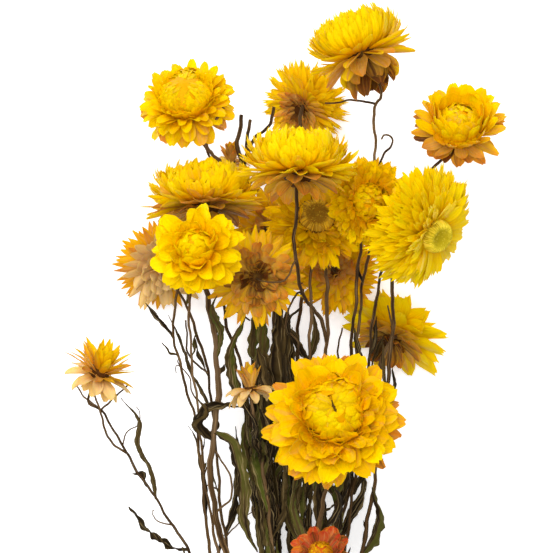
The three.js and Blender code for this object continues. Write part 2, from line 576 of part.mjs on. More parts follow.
// Wraps of twine side by side, and a flat knot on top. The ring turns about Y.
function makeTwine() {
  const inner = 2 * tie.pitch + stemRadius.tie + joinGap;
  const half = tie.twine / 2;
  const edge = tie.wraps * half;
  const profile = [new THREE.Vector2(0, -edge)];
  for (let wrap = 0; wrap < tie.wraps; wrap++) {
    const middle = (wrap - (tie.wraps - 1) / 2) * tie.twine;
    for (const angle of [-wrapCrown, wrapCrown]) {
      const x = inner + half + Math.cos(radians(angle)) * half;
      profile.push(new THREE.Vector2(x, middle + Math.sin(radians(angle)) * half));
    }
  }
  profile.push(new THREE.Vector2(0, edge));
  const ring = new THREE.LatheGeometry(profile, tie.sides).translate(0, tie.y, tie.z);
  const hole = new THREE.CylinderGeometry(inner, inner, edge * 4, tie.sides).translate(0, tie.y, tie.z);
  const lump = new THREE.SphereGeometry(knot.radius, 6, 4).scale(knot.width, 1, knot.height);
  lump.translate(0, tie.y, tie.z + inner + tie.twine);
  return fuse([ring, lump].map(solidOf)).subtract(solidOf(hole));
}

// Everything under the surface the bunch lies on, to press the lowest parts flat.
function makeUnderside() {
  const { width, length, depth } = underside;
  return solidOf(new THREE.BoxGeometry(width, length, depth).translate(0, 0, -depth / 2));
}

function makeMaterial(name) {
  const [red, green, blue] = colours[name];
  const colour = new THREE.Color().setRGB(red, green, blue);
  const material = new THREE.MeshStandardMaterial({ color: colour, roughness: 0.7, metalness: 0 });
  material.name = name;
  return material;
}

function makeBunch() {
  const below = makeUnderside();
  const bunch = new THREE.Group();
  const add = (name, solid, tone) => {
    const mesh = new THREE.Mesh(geometryOf(mainBody(solid.subtract(below))), makeMaterial(tone));
    mesh.name = name;
    bunch.add(mesh);
  };
  Object.entries(heads).forEach(([name, head], index) => {
    add(`head_${name}`, makeHead(head, headSeed.first + index * headSeed.step), head.tone);
    if (kinds[head.kind].disc) add(`disc_${name}`, makeDisc(head), "disc");
  });
  const cutShares = randomFrom(cutSeed);
  for (const [name, stem] of Object.entries(stems)) {
    if (stem.slot) add(`stem_${name}`, makeStem(name, stem, cutShares()), "stem");
  }
  add("twine", makeTwine(), "twine");
  const box = new THREE.Box3().setFromObject(bunch);
  const centre = box.getCenter(new THREE.Vector3());
  for (const mesh of bunch.children) mesh.geometry.translate(-centre.x, -centre.y, -box.min.z);
  return bunch;
}

export default makeBunch();
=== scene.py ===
import functools
import json
import math
import random

import bpy
import numpy as np
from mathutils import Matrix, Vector


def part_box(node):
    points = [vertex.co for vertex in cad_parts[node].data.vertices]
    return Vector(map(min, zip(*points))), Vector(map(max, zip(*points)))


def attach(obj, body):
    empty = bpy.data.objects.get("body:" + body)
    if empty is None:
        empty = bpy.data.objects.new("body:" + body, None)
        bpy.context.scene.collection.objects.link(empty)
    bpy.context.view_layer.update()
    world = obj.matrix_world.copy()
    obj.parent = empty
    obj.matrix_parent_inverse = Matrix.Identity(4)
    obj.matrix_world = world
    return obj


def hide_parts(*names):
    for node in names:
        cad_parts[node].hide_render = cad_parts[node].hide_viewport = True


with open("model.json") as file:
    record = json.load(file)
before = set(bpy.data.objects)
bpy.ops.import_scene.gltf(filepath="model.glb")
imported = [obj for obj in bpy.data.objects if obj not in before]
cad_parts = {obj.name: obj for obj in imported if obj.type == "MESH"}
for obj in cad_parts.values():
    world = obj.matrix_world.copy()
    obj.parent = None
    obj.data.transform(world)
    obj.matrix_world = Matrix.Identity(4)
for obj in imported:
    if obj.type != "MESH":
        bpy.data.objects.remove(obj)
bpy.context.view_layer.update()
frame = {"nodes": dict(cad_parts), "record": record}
slots = {part["node"]: part["material_slot"] for part in frame["record"]["subparts"]}
print("frame loaded:", len(frame["nodes"]), "nodes")

mm = 0.001
circle = 2 * math.pi

# the tie fixes where the bunch lies: lengths are millimetres from here on, with the tie's middle at x = 0
tie = {"y": -85, "z": 16.4, "pitch": 3.4, "run": 8, "inner": 8.45, "wraps": 3, "twine": 2}
twineLow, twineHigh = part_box("twine")
shift = (Vector(twineLow) + Vector(twineHigh)) / 2 / mm
shift = Vector((shift.x, shift.y - tie["y"], 0))
groundGive = 0.4  # the height under which everything is pressed flatter


def toWorld(points):
    placed = np.asarray(points, dtype=float) + np.array(shift)
    low = placed[:, 2] < groundGive
    placed[low, 2] = groundGive * np.exp((placed[low, 2] - groundGive) / groundGive)
    return placed * mm


# the blooms: kind is the body of each, and rows are the bracts on it where these aren't of the same name
# tilt, size, tall, off and nudge turn, shrink, flatten and move what is drawn; warm deepens and age dries it
heads = {
    "a": {"at": (-41, 179.5, 62), "faces": (-0.12, 0.5, 0.85), "across": 40, "kind": "bun", "off": 0.16,
          "size": 0.94, "tilt": (-0.12, 0.66, 0.74), "nudge": (-0.5, 1.5, 0), "warm": 0.3},
    "b": {"at": (7, 183, 9.2), "faces": (0.15, 0.4, -0.9), "across": 35, "kind": "cup", "rows": "spray",
          "warm": -0.1, "tilt": (0.42, 0.44, -0.79), "nudge": (-1, -2.5, 0)},
    "c": {"at": (31, 200, 66), "faces": (-0.33, 0.92, -0.2), "across": 46, "kind": "fan",
          "rows": "skirted fan", "size": 0.92, "nudge": (-3, 1.5, 0)},
    "d": {"at": (67.5, 171, 58), "faces": (0.1, 0.55, 0.83), "across": 39, "kind": "skirted",
          "rows": "barrel", "warm": 0.4, "tilt": (0.06, 0.7, 0.71), "nudge": (0, -1, 0)},
    "e": {"at": (-34, 142, 58), "faces": (-0.05, 0.97, -0.2), "across": 50, "kind": "fan", "tall": 0.85,
          "warm": 0.35},
    "f": {"at": (3, 154, 100), "faces": (0.02, 0.98, -0.15), "across": 49, "kind": "fan", "tall": 0.88},
    "g": {"at": (-37, 121, 108), "faces": (-0.15, 0.25, 0.95), "across": 37, "kind": "bun", "rows": "rose",
          "off": 0.1, "size": 0.92},
    "h": {"at": (53, 129.5, 88), "faces": (0.62, -0.36, 0.7), "across": 49, "kind": "open", "warm": -0.3},
    "i": {"at": (10, 132, 48), "faces": (0.1, 0.45, 0.88), "across": 42, "kind": "open", "rows": "ringed",
          "warm": 0.7},
    "j": {"at": (30, 140, 67), "faces": (0.35, -0.05, 0.93), "across": 34, "kind": "bun", "rows": "curly",
          "warm": 0.5, "nudge": (1.5, 0.5, 0)},
    "k": {"at": (-5.6, 129, 27.6), "faces": (0.3, 0, -0.95), "across": 36, "kind": "cup", "warm": 0.5,
          "age": -0.4},
    "l": {"at": (-14, 111, 72), "faces": (-0.15, 0.15, -0.97), "across": 38, "kind": "cup", "warm": 0.8,
          "age": -0.2},
    "m": {"at": (-52, 116, 10.6), "faces": (-0.3, 0.45, -0.84), "across": 37, "kind": "cup", "warm": 0.9,
          "age": 1.5},
    "n": {"at": (20, 111, 22), "faces": (0.35, -0.3, -0.88), "across": 33, "kind": "cup", "warm": 0.5,
          "age": -0.4},
    "o": {"at": (46, 89, 10.9), "faces": (0.3, 0.25, -0.92), "across": 43, "kind": "cup", "rows": "star",
          "warm": -0.5, "size": 0.98, "tall": 0.6, "tilt": (0.36, 0.74, -0.57), "nudge": (-3, 0, 3)},
    "p": {"at": (17, 53, 112), "faces": (0, 0.12, 0.99), "across": 54, "kind": "skirted", "rows": "crown",
          "off": 0.16, "warm": 0.6, "size": 0.94, "nudge": (0, 1.5, 0)},
    "q": {"at": (-76, 73, 54), "faces": (0.35, 0.85, 0.3), "across": 31, "kind": "bud", "size": 0.88},
    "r": {"at": (-16, 66, 68), "faces": (-0.1, 0.95, 0.1), "across": 19, "kind": "tuft", "age": 0.25},
    "s": {"at": (12, 1, 93), "faces": (0, 0.45, 0.88), "across": 25, "kind": "bud", "rows": "rust",
          "warm": 0.35},
    "t": {"at": (-24, 157, 20), "faces": (0, 0.85, 0.4), "across": 16, "kind": "tuft", "age": 0.3},
}
coreDepth = {"bun": 0.34, "skirted": 0.34, "fan": 0.34, "open": 0.1, "cup": 0.36, "bud": 0.4, "tuft": 0.4}
coreTop = {"open": 0.24, "other": 0.1}

# a row of bracts: shares of the bloom's radius, and slopes in degrees above the bloom's own plane
rowColumns = ("count", "h", "lean", "curl", "length", "width", "start", "point", "age", "stray", "cup",
              "ragged", "shorter", "press")
plainRow = {"start": 0.1, "point": 0.4, "age": 0, "stray": 1, "cup": 0.25, "ragged": 0.03, "shorter": 0.15,
            "press": 0, "fine": False, "bend": 1.3, "waist": 0.42}


def freeRows(*rows, **shared):
    # rows that stand free, each a tuple in the order of the columns above
    return [{**plainRow, **dict(zip(rowColumns, row)), **shared} for row in rows]


def domeRows(wide, tall, middle, tips, width, age=0.0, crowd=1.5, layer=0.006, **shared):
    # rows that close over a dome, from near its crown to its widest part: tips in degrees from the axis
    rows = []
    for k, tip in enumerate(tips):
        count = max(4, round(crowd * circle * wide * math.sin(math.radians(tip)) / width))
        rows.append({**plainRow, "point": 0.3, "cup": 0.3, "flare": 0.02, "lobes": 0, "dip": 0, "slit": 0,
                     "fine": True, **shared, "count": count, "dome": (wide + k * layer, tall + k * layer),
                     "middle": middle, "tip": tip, "root": min(tip + 55, 125), "width": width, "age": age})
    return rows


# from the middle out: count, height, lean, curl, length, how much shorter its upper side is, age, start
bowlShape = [
    (16, 0.06, 82, 120, 0.5, 0, 0, 0.06),
    (22, 0.06, 74, 116, 0.56, 0, 0, 0.14),
    (28, 0.05, 62, 112, 0.62, 0.02, 0, 0.2),
    (32, 0.04, 52, 108, 0.68, 0.08, 0, 0.25),
    (36, 0.02, 42, 102, 0.73, 0.15, 0, 0.28),
    (38, 0.0, 33, 94, 0.77, 0.22, 0, 0.3),
    (40, -0.02, 25, 84, 0.8, 0.3, 0, 0.31),
    (40, -0.04, 17, 72, 0.82, 0.38, 0.02, 0.31),
    (38, -0.06, 9, 58, 0.83, 0.46, 0.05, 0.3),
    (34, -0.08, 2, 44, 0.82, 0.54, 0.1, 0.29),
]


def bowlRows(crowd=1.0, width=0.19, stepped=1.0):
    # pressed closer on the upper side and shorter in steps there
    return [row for count, h, lean, curl, length, shorter, age, start in bowlShape
            for row in freeRows((round(count * crowd), h, lean, curl, length, width, start, 0.12, age),
                                stray=1.35, ragged=0.08, shorter=shorter * stepped, press=0.8, fine=True,
                                bend=1.1)]


tanUnder = [
    *freeRows(
        (13, -0.26, -14, -40, 0.56, 0.3, 0.14, 0.5, 0.9),
        (10, -0.3, -34, -62, 0.42, 0.27, 0.1, 0.6, 1),
        cup=0.4),
]
bowlUnder = [
    *freeRows(
        (26, -0.1, -6, 12, 0.72, 0.2, 0.28, 0.35, 0.2, 1, 0.35),
        (16, -0.13, -10, -6, 0.6, 0.28, 0.26, 0.35, 0.5, 1, 0.4),
        (12, -0.18, -18, -26, 0.54, 0.3, 0.22, 0.4, 0.85, 1, 0.4),
        (9, -0.26, -34, -56, 0.42, 0.28, 0.12, 0.5, 1, 1, 0.4)),
]
# the rows of each kind of bloom, from the middle out
kinds = {
    # the large smooth dome with a fringe of separate bracts
    "bun": [
        *domeRows(0.54, 0.36, 0.0, range(3, 34, 6), 0.13, cup=0.25, lobes=0.15, stray=1.5, dip=0.05),
        *domeRows(0.54, 0.38, 0.0, range(39, 98, 6), 0.15, layer=0.009, flare=0.03, cup=0.25, lobes=0.14,
                  stray=1.2),
        *freeRows((26, -0.05, 74, 78, 0.36, 0.16, 0.5, 0.3, 0, 1.4), fine=True),
        *freeRows(
            (24, -0.08, 58, 56, 0.46, 0.19, 0.48, 0.3, 0, 1.5),
            (19, -0.11, 40, 32, 0.56, 0.23, 0.45, 0.25, 0, 1.6),
            (16, -0.13, 24, 14, 0.62, 0.27, 0.42, 0.25, 0.04, 1.6),
            (13, -0.16, 6, -10, 0.64, 0.32, 0.38, 0.15, 0.25, 1.6),
            (11, -0.19, -8, -26, 0.66, 0.38, 0.32, 0.15, 0.4, 1.5),
            (10, -0.22, -20, -40, 0.66, 0.38, 0.26, 0.2, 0.55, 1.3)),
        *tanUnder,
    ],
    # the rose-like bloom: few broad rounded bracts
    "rose": [
        *domeRows(0.4, 0.38, 0.02, (3, 14, 28, 43, 58, 74, 90), 0.27, point=0.15, crowd=1.45, flare=0.035,
                  cup=0.35, fine=False, stray=1.6),
        *freeRows(
            (8, 0, 84, 112, 0.48, 0.34, 0.41, 0.15, 0, 1.6),
            (9, -0.04, 68, 84, 0.58, 0.38, 0.39, 0.1, 0, 1.8, 0.4),
            (10, -0.08, 48, 46, 0.66, 0.41, 0.36, 0.1, 0, 2, 0.4),
            (11, -0.11, 30, 18, 0.72, 0.42, 0.33, 0.1, 0, 2, 0.35),
            (12, -0.14, 14, -2, 0.76, 0.4, 0.3, 0.1, 0, 1.8),
            (13, -0.17, -2, -18, 0.78, 0.37, 0.26, 0.15, 0.1, 1.6),
            (12, -0.2, -14, -34, 0.76, 0.33, 0.22, 0.3, 0.4)),
        *tanUnder,
    ],
    # the biggest bloom: a crumpled dome round a dark eye, and broad ragged bracts
    "crown": [
        *domeRows(0.43, 0.36, 0.04, (5, 8, 12, 17, 23, 30), 0.26, point=0.1, crowd=2.2, layer=0.01,
                  flare=0.02, lobes=0.06, fine=False, stray=1.2, dip=0.1, slit=0.5),
        *domeRows(0.48, 0.38, 0.02, (38, 47, 57, 68, 80), 0.27, point=0.08, crowd=1.7, layer=0.01,
                  flare=0.06, cup=0.25, lobes=0.08, fine=False, stray=1.8, dip=0.02),
        *freeRows(
            (13, -0.02, 70, 72, 0.4, 0.3, 0.45, 0.1, 0, 2.2, 0.25, 0.06),
            (13, -0.05, 56, 52, 0.48, 0.34, 0.44, 0.08, 0, 2.2, 0.25, 0.06),
            (13, -0.09, 42, 32, 0.56, 0.37, 0.41, 0.08, 0, 2, 0.25, 0.06),
            (13, -0.12, 28, 16, 0.64, 0.38, 0.36, 0.1, 0, 1.8, 0.25, 0.06),
            (14, -0.15, 14, 4, 0.72, 0.36, 0.3, 0.15, 0, 1.6, 0.25, 0.05),
            (15, -0.18, 0, -8, 0.78, 0.33, 0.26, 0.2, 0.2, 1.3),
            (16, -0.21, -6, -14, 0.82, 0.28, 0.24, 0.45, 0.6)),
        *tanUnder,
    ],
    # the half-open bloom: a barrel of bracts over a tan skirt
    "barrel": [
        *domeRows(0.38, 0.42, 0.06, (4, 9, 16, 24), 0.22, 0.12, point=0.2, crowd=2, flare=0.06, fine=False,
                  stray=2, dip=0.07),
        *domeRows(0.45, 0.46, 0.04, (33, 43, 55, 68, 83), 0.34, point=0.12, crowd=1.5, flare=0.05,
                  fine=False, stray=1.4),
        *freeRows(
            (10, 0, 80, 92, 0.58, 0.34, 0.44, 0.15, 0, 1, 0.25, 0.03, 0.1, 0.6),
            (11, -0.05, 64, 64, 0.68, 0.34, 0.42, 0.15, 0, 1, 0.25, 0.03, 0.2, 0.8),
            (12, -0.1, 44, 38, 0.74, 0.31, 0.38, 0.2, 0.05, 1, 0.25, 0.03, 0.34, 0.9),
            (12, -0.14, 24, 12, 0.76, 0.29, 0.32, 0.25, 0.25, 1, 0.25, 0.03, 0.36, 0.5),
            (12, -0.18, 6, -6, 0.76, 0.28, 0.26, 0.35, 0.7, 1, 0.25, 0.03, 0.36, 0.3),
            (11, -0.21, -8, -22, 0.68, 0.32, 0.22, 0.35, 1, 1, 0.25, 0.03, 0.3, 0.2),
            (9, -0.26, -24, -44, 0.52, 0.32, 0.16, 0.4, 1.05)),
    ],
    # a bowl of very fine bracts, seen from its side
    "fan": [*bowlRows(), *bowlUnder],
    # the same bowl over a long skirt of broad bracts
    "skirted fan": [
        *bowlRows(1.3, 0.13, 0.35),
        *freeRows(
            (18, -0.12, -6, 8, 0.78, 0.2, 0.26, 0.5, 0.25, 1, 0.35),
            (11, -0.16, -20, -24, 0.72, 0.3, 0.24, 0.4, 0.75, 1, 0.35),
            (8, -0.2, -44, -60, 0.56, 0.42, 0.2, 0.35, 0.7, 1, 0.45),
            (7, -0.26, -60, -76, 0.6, 0.42, 0.14, 0.4, 1.1, 1.6, 0.45),
            (7, -0.3, -68, -84, 0.6, 0.4, 0.1, 0.45, 1.5, 1.6, 0.4)),
    ],
    # long bracts swept back round a disc
    "open": [
        *freeRows((40, 0.2, 30, 10, 0.08, 0.035, 0.265, 0.9, 1.7, 1, 0), press=-0.8, fine=True),
        *freeRows(
            (34, 0.25, 44, 16, 0.52),
            (40, 0.23, 34, 8, 0.64),
            (44, 0.2, 25, 3, 0.74),
            (46, 0.18, 16, -3, 0.81),
            (48, 0.16, 8, -9, 0.86),
            (48, 0.13, 0, -15, 0.9),
            (44, 0.1, -8, -25, 0.9),
            width=0.14, start=0.2, point=0.1, stray=0.95, ragged=0.07, press=-0.8, fine=True, waist=0.75),
        *freeRows(
            (24, 0.07, -18, -38, 0.8, 0.22, 0.2, 0.4, 0.15, 1, 0.25, 0.05),
            (20, 0.02, -30, -52, 0.72, 0.22, 0.16, 0.6, 0.5, 1, 0.4),
            (13, -0.02, -44, -70, 0.5, 0.24, 0.1, 0.6, 0.9, 1, 0.4)),
    ],
    # broader bracts with curled ends round a brown disc
    "ringed": [
        *freeRows((60, 0.26, 52, -4, 0.17, 0.03, 0.29, 0.9, 1.3, 1, 0), fine=True),
        *freeRows(
            (24, 0.22, 44, 45, 0.52),
            (28, 0.2, 34, 55, 0.58),
            (30, 0.17, 24, 61, 0.64),
            (32, 0.14, 14, 59, 0.7),
            (32, 0.11, 5, 45, 0.76),
            (30, 0.08, -4, 25, 0.8),
            width=0.16, start=0.27, point=0.15, stray=1.9, ragged=0.1, fine=True, bend=1.8),
        *freeRows(
            (24, 0.04, -14, -24, 0.78, 0.22, 0.2, 0.4, 0.2, 1, 0.25, 0.05),
            (16, -0.02, -34, -60, 0.6, 0.24, 0.14, 0.6, 0.8, 1, 0.4)),
    ],
    # small curled bracts all over
    "curly": [
        *domeRows(0.4, 0.26, 0.04, (6, 15, 25, 36, 48, 61, 75), 0.19, point=0.25, crowd=1.6, layer=0.012,
                  flare=0.09, cup=0.4, lobes=0.1, ragged=0.1, stray=2),
        *freeRows(
            (27, 0.1, 38, 66, 0.42, 0.18, 0.45),
            (28, 0.04, 28, 54, 0.44, 0.18, 0.52),
            (28, -0.02, 18, 40, 0.46, 0.18, 0.55),
            (26, -0.08, 8, 28, 0.48, 0.18, 0.55),
            point=0.2, stray=1.9, ragged=0.1, fine=True, bend=1.5),
        *freeRows(
            (26, -0.14, 4, 30, 0.6, 0.2, 0.42, 0.4, 0.1, 1.6, 0.25, 0.06),
            (20, -0.18, -10, -10, 0.66, 0.24, 0.34, 0.4, 0.3, 1.4)),
        *tanUnder,
    ],
    # seen from behind: shell-like bracts round the neck and longer ones behind them
    "cup": [
        *freeRows(
            (16, 0, 70, 92, 0.6, 0.2, 0.16, 0.5),
            (20, -0.04, 52, 58, 0.74, 0.2, 0.18, 0.6),
            (22, -0.08, 34, 30, 0.82, 0.2, 0.2, 0.7, 0.04),
            (24, -0.11, 18, 10, 0.86, 0.2, 0.2, 0.8, 0.08),
            (22, -0.14, 4, -6, 0.86, 0.2, 0.2, 0.8, 0.2),
            (18, -0.17, -8, -18, 0.82, 0.22, 0.2, 0.7, 0.45),
            (14, -0.2, -10, -40, 0.62, 0.28, 0.2, 0.3, 0.7, 1, 0.5),
            (12, -0.24, -20, -56, 0.5, 0.3, 0.16, 0.3, 0.9, 1, 0.55),
            (9, -0.29, -34, -72, 0.38, 0.28, 0.12, 0.3, 1, 1, 0.55),
            (7, -0.33, -46, -80, 0.26, 0.22, 0.08, 0.4, 1.1, 1, 0.5)),
    ],
    # seen from behind: fine fringed bracts
    "spray": [
        *freeRows(
            (26, 0, 66, 80, 0.66, 0.12, 0.16, 0.6, 0, 1.5, 0.25, 0.1),
            (32, -0.04, 48, 50, 0.76, 0.12, 0.18, 0.5, 0, 1.5, 0.25, 0.12),
            (36, -0.08, 32, 26, 0.84, 0.13, 0.2, 0.4, 0, 1.5, 0.25, 0.12),
            (38, -0.11, 20, 10, 0.84, 0.14, 0.2, 0.4, 0, 1.5, 0.25, 0.12),
            (38, -0.13, 8, -6, 0.82, 0.15, 0.2, 0.4, 0.1, 1.5, 0.25, 0.12),
            (34, -0.16, -4, -20, 0.72, 0.15, 0.18, 0.4, 0.25, 1.5, 0.25, 0.1),
            fine=True),
        *freeRows(
            (26, -0.19, -14, -30, 0.56, 0.15, 0.16, 0.5, 0.6, 1.5),
            (22, -0.23, -24, -42, 0.44, 0.14, 0.13, 0.5, 0.9, 1.5),
            (16, -0.28, -34, -54, 0.34, 0.13, 0.1, 0.5, 1.12, 1.5),
            (10, -0.32, -44, -66, 0.24, 0.12, 0.08, 0.5, 1.3),
            cup=0.4),
    ],
    # seen from behind: long pointed bracts like a star, with serrated broad ones among them
    "star": [
        *freeRows(
            (9, 0, 64, 76, 0.66, 0.24, 0.14, 0.9),
            (10, -0.05, 46, 44, 0.8, 0.27, 0.16, 1, 0, 1, 0.25, 0.04),
            (11, -0.09, 28, 20, 0.88, 0.32, 0.18, 0.9, 0, 1, 0.25, 0.06),
            (12, -0.12, 14, 8, 0.9, 0.36, 0.18, 0.7, 0, 1, 0.25, 0.07),
            (12, -0.15, 6, 2, 0.9, 0.38, 0.18, 0.5, 0, 1.5, 0.25, 0.07),
            (10, -0.18, -4, -12, 0.78, 0.36, 0.18, 0.5, 0.2, 1, 0.25, 0.05),
            (11, -0.22, -12, -26, 0.6, 0.28, 0.16, 0.6, 0.95, 1, 0.4),
            (11, -0.26, -20, -38, 0.56, 0.25, 0.12, 0.5, 1.25, 1, 0.4),
            (9, -0.31, -34, -58, 0.42, 0.22, 0.08, 0.5, 1.6, 1, 0.4)),
    ],
    # a small bloom, half closed
    "bud": [
        *freeRows(
            (6, 0.04, 84, 104, 0.74, 0.26, 0.08, 0.6, 0.1),
            (8, 0, 70, 78, 0.88, 0.26, 0.12, 0.7, 0.2),
            (9, -0.05, 54, 50, 0.94, 0.25, 0.14, 0.75, 0.35, 1.5),
            (9, -0.1, 38, 28, 0.98, 0.25, 0.14, 0.8, 0.5, 1.5),
            (8, -0.15, 18, 4, 0.96, 0.28, 0.14, 0.7, 0.7, 1.5),
            (9, -0.2, -2, -24, 0.92, 0.38, 0.14, 0.35, 2.2, 1, 0.45),
            (8, -0.26, -24, -52, 0.74, 0.4, 0.12, 0.35, 2.2, 1, 0.5),
            (8, -0.32, -44, -74, 0.44, 0.3, 0.08, 0.5, 2, 1, 0.5)),
    ],
    # the rust bloom: a small gold dome in broad rounded bracts
    "rust": [
        *domeRows(0.36, 0.3, 0.0, range(6, 95, 11), 0.15, -0.6, point=0.4, flare=0.05, ragged=0.06,
                  stray=1.6),
        *freeRows(
            (8, -0.03, 66, 62, 0.52, 0.36, 0.36, 0.12, 0.85, 1, 0.35),
            (9, -0.08, 46, 38, 0.62, 0.4, 0.34, 0.12, 0.85, 1, 0.35),
            (10, -0.13, 24, 12, 0.68, 0.4, 0.3, 0.15, 0.85, 1, 0.35),
            (10, -0.18, 4, -12, 0.74, 0.36, 0.26, 0.3, 0.9),
            (10, -0.24, -20, -46, 0.6, 0.32, 0.18, 0.5, 0.95, 1, 0.4),
            (8, -0.32, -42, -74, 0.4, 0.28, 0.1, 0.5, 1.1, 1, 0.5)),
    ],
    # a closed bud over a pale skirt
    "tuft": [
        *freeRows(
            (4, 0.06, 86, 98, 1, 0.4, 0.06, 0.7, 0.5, 1, 0.7),
            (6, -0.02, 78, 82, 1.06, 0.4, 0.1, 0.7, 0.5, 1, 0.6),
            (6, -0.1, 66, 66, 0.98, 0.38, 0.12, 0.7, 0.6, 1, 0.5),
            (7, -0.04, 6, -34, 0.94, 0.42, 0.2, 0.45, 2.2, 1, 0.35),
            (7, -0.12, -18, -62, 1, 0.42, 0.2, 0.4, 2.2, 1.6, 0.35)),
    ],
}
# how far one bract strays from the others of its row
wander = {"turn": 0.34, "lean": 5, "curl": 11, "length": 0.09, "width": 0.16, "twist": 15, "sway": 0.12,
          "wild": 0.05, "wildLean": 18, "ruffle": 0.16, "tip": 3, "cup": 0.4}
# press above 0 raises the upper side to upright, and below 0 lets it fall back by these angles
pressed = {"upright": 118, "fallLean": 45, "fallCurl": 50, "fade": 1.5}
bractSheet = {"long": 8, "short": 5, "wide": 4, "narrow": 2, "thick": 0.16, "bunch": 1.4, "flat": 0.66,
              "sharp": 0.5, "fork": 0.2, "fineFork": 1.2, "notch": 6}
# the dark eye of the biggest bloom: the way its slit runs, and shares of the radius for its pit
eye = {"slitTurn": 3.9, "rim": 0.16, "wide": 0.1, "sunk": 0.1, "bottom": 0.05, "top": 0.01}
markNames = ("along", "across", "tone", "age")


@functools.cache
def sheetFaces(long, wide):
    # a sheet's top, its underside and the narrow rim between them, all one closed skin
    def top(i, j):
        return i * (wide + 1) + j

    below = (long + 1) * (wide + 1)
    faces = []
    for i in range(long):
        for j in range(wide):
            quad = (top(i, j), top(i + 1, j), top(i + 1, j + 1), top(i, j + 1))
            faces += [quad, tuple(below + v for v in reversed(quad))]
    edge = [top(0, j) for j in range(wide + 1)] + [top(i, wide) for i in range(1, long + 1)]
    edge += [top(long, j) for j in range(wide - 1, -1, -1)] + [top(i, 0) for i in range(long - 1, 0, -1)]
    faces += [(one, two, below + two, below + one) for one, two in zip(edge, edge[1:] + edge[:1])]
    return np.array(faces)


@functools.cache
def tubeFaces(rings, sides, loop=False):
    # rings of points joined into a skin, with both ends capped by quads unless it closes on itself
    faces = []
    for i in range(rings if loop else rings - 1):
        here, there = i * sides, (i + 1) % rings * sides
        for j in range(sides):
            k = (j + 1) % sides
            faces.append((here + j, here + k, there + k, there + j))
    if not loop:
        last = (rings - 1) * sides
        for k in range(sides // 2 - 1):
            cap = (k, k + 1, sides - k - 2, sides - k - 1)
            faces += [tuple(reversed(cap)), tuple(last + v for v in cap)]
    return np.array(faces)


def keep(piece, node):
    # a piece that stands in for its solid
    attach(piece, "root")
    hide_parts(node)


class Heap:
    # gathers the shells of one piece, with what its material reads at each point
    def __init__(self, turn=np.eye(3), seat=(0, 0, 0)):
        self.turn, self.seat = turn, seat
        self.shells = []
        self.count = 0

    def add(self, points, faces, along, across, tone, age, finish=0):
        marks = np.empty((len(points), len(markNames)))
        for column, value in enumerate((along, across, tone, age)):
            marks[:, column] = value
        placed = points @ self.turn.T + self.seat
        self.shells.append((placed, faces + self.count, marks, np.full(len(faces), finish)))
        self.count += len(points)

    def addSheet(self, centre, normal, thick, along, tone, age, finish=0):
        # both faces of a sheet, half as thick at its sides
        wide = centre.shape[1]
        v = np.linspace(-1, 1, wide)
        gap = normal * (thick * (1 - 0.5 * v ** 2) / 2)[:, None]
        points = np.concatenate([(centre + gap).reshape(-1, 3), (centre - gap).reshape(-1, 3)])
        self.add(points, sheetFaces(len(centre) - 1, wide - 1), np.tile(np.repeat(along, wide), 2),
                 np.tile(v, 2 * len(centre)), tone, age, finish)

    def make(self, name, node, materials, sharp=55):
        points, faces, marks, finish = (np.concatenate(part) for part in zip(*self.shells))
        mesh = bpy.data.meshes.new(name)
        mesh.from_pydata(toWorld(points).tolist(), [], faces.tolist())
        for column, label in enumerate(markNames):
            layer = mesh.attributes.new(label, "FLOAT", "POINT")
            layer.data.foreach_set("value", marks[:, column].astype(np.float32))
        mesh.polygons.foreach_set("material_index", finish)
        mesh.shade_smooth()
        mesh.set_sharp_from_angle(angle=math.radians(sharp))
        for material in materials:
            mesh.materials.append(material)
        piece = bpy.data.objects.new(name, mesh)
        bpy.context.collection.objects.link(piece)
        keep(piece, node)


def swing(rand, amount=1.0):
    # a draw from both sides of zero
    return (2 * rand.random() - 1) * amount


def uneven(rand, amount):
    # a factor drawn from both sides of one
    return 1 - amount + 2 * amount * rand.random()


def anyPhase(rand):
    # where a wave begins
    return rand.random() * 6


def around(sides):
    return np.linspace(0, circle, sides, endpoint=False)


def ringsRound(line, side, other, reach, angles):
    # rings of points round a line, where side and other are square to it
    spread = side[..., None, :] * np.cos(angles)[:, None] + other[..., None, :] * np.sin(angles)[:, None]
    return (line[:, None, :] + spread * reach).reshape(-1, 3)


def spokes(turn):
    # the ways out from an axis and round it, and the axis
    return (np.array([math.cos(turn), math.sin(turn), 0]), np.array([-math.sin(turn), math.cos(turn), 0]),
            np.array([0, 0, 1]))


def turned(side, up, angle):
    # both turned about the way that they are square to
    c, s = np.cos(angle)[:, None], np.sin(angle)[:, None]
    return side * c + up * s, up * c - side * s


def route(points, count=200):
    # samples along a centripetal Catmull-Rom curve through the points
    points = np.array([tuple(point) for point in points], dtype=float)
    last = len(points) - 1
    samples = []
    for n in range(count + 1):
        spot = last * (n / count)
        k = min(int(spot), last - 1)
        w = spot - k
        one, two = points[k], points[k + 1]
        before = points[k - 1] if k > 0 else 2 * points[0] - points[1]
        after = points[k + 2] if k + 2 <= last else 2 * points[last] - points[last - 1]
        a, b, c = (math.sqrt(np.linalg.norm(there - here))
                   for here, there in ((before, one), (one, two), (two, after)))
        a = a if a > 1e-4 else b
        c = c if c > 1e-4 else b
        leave = ((one - before) / a - (two - before) / (a + b) + (two - one) / b) * b
        arrive = ((two - one) / b - (after - one) / (b + c) + (after - two) / c) * b
        samples.append(one + leave * w + (3 * (two - one) - 2 * leave - arrive) * w ** 2
                       + (2 * (one - two) + leave + arrive) * w ** 3)
    return np.array(samples)


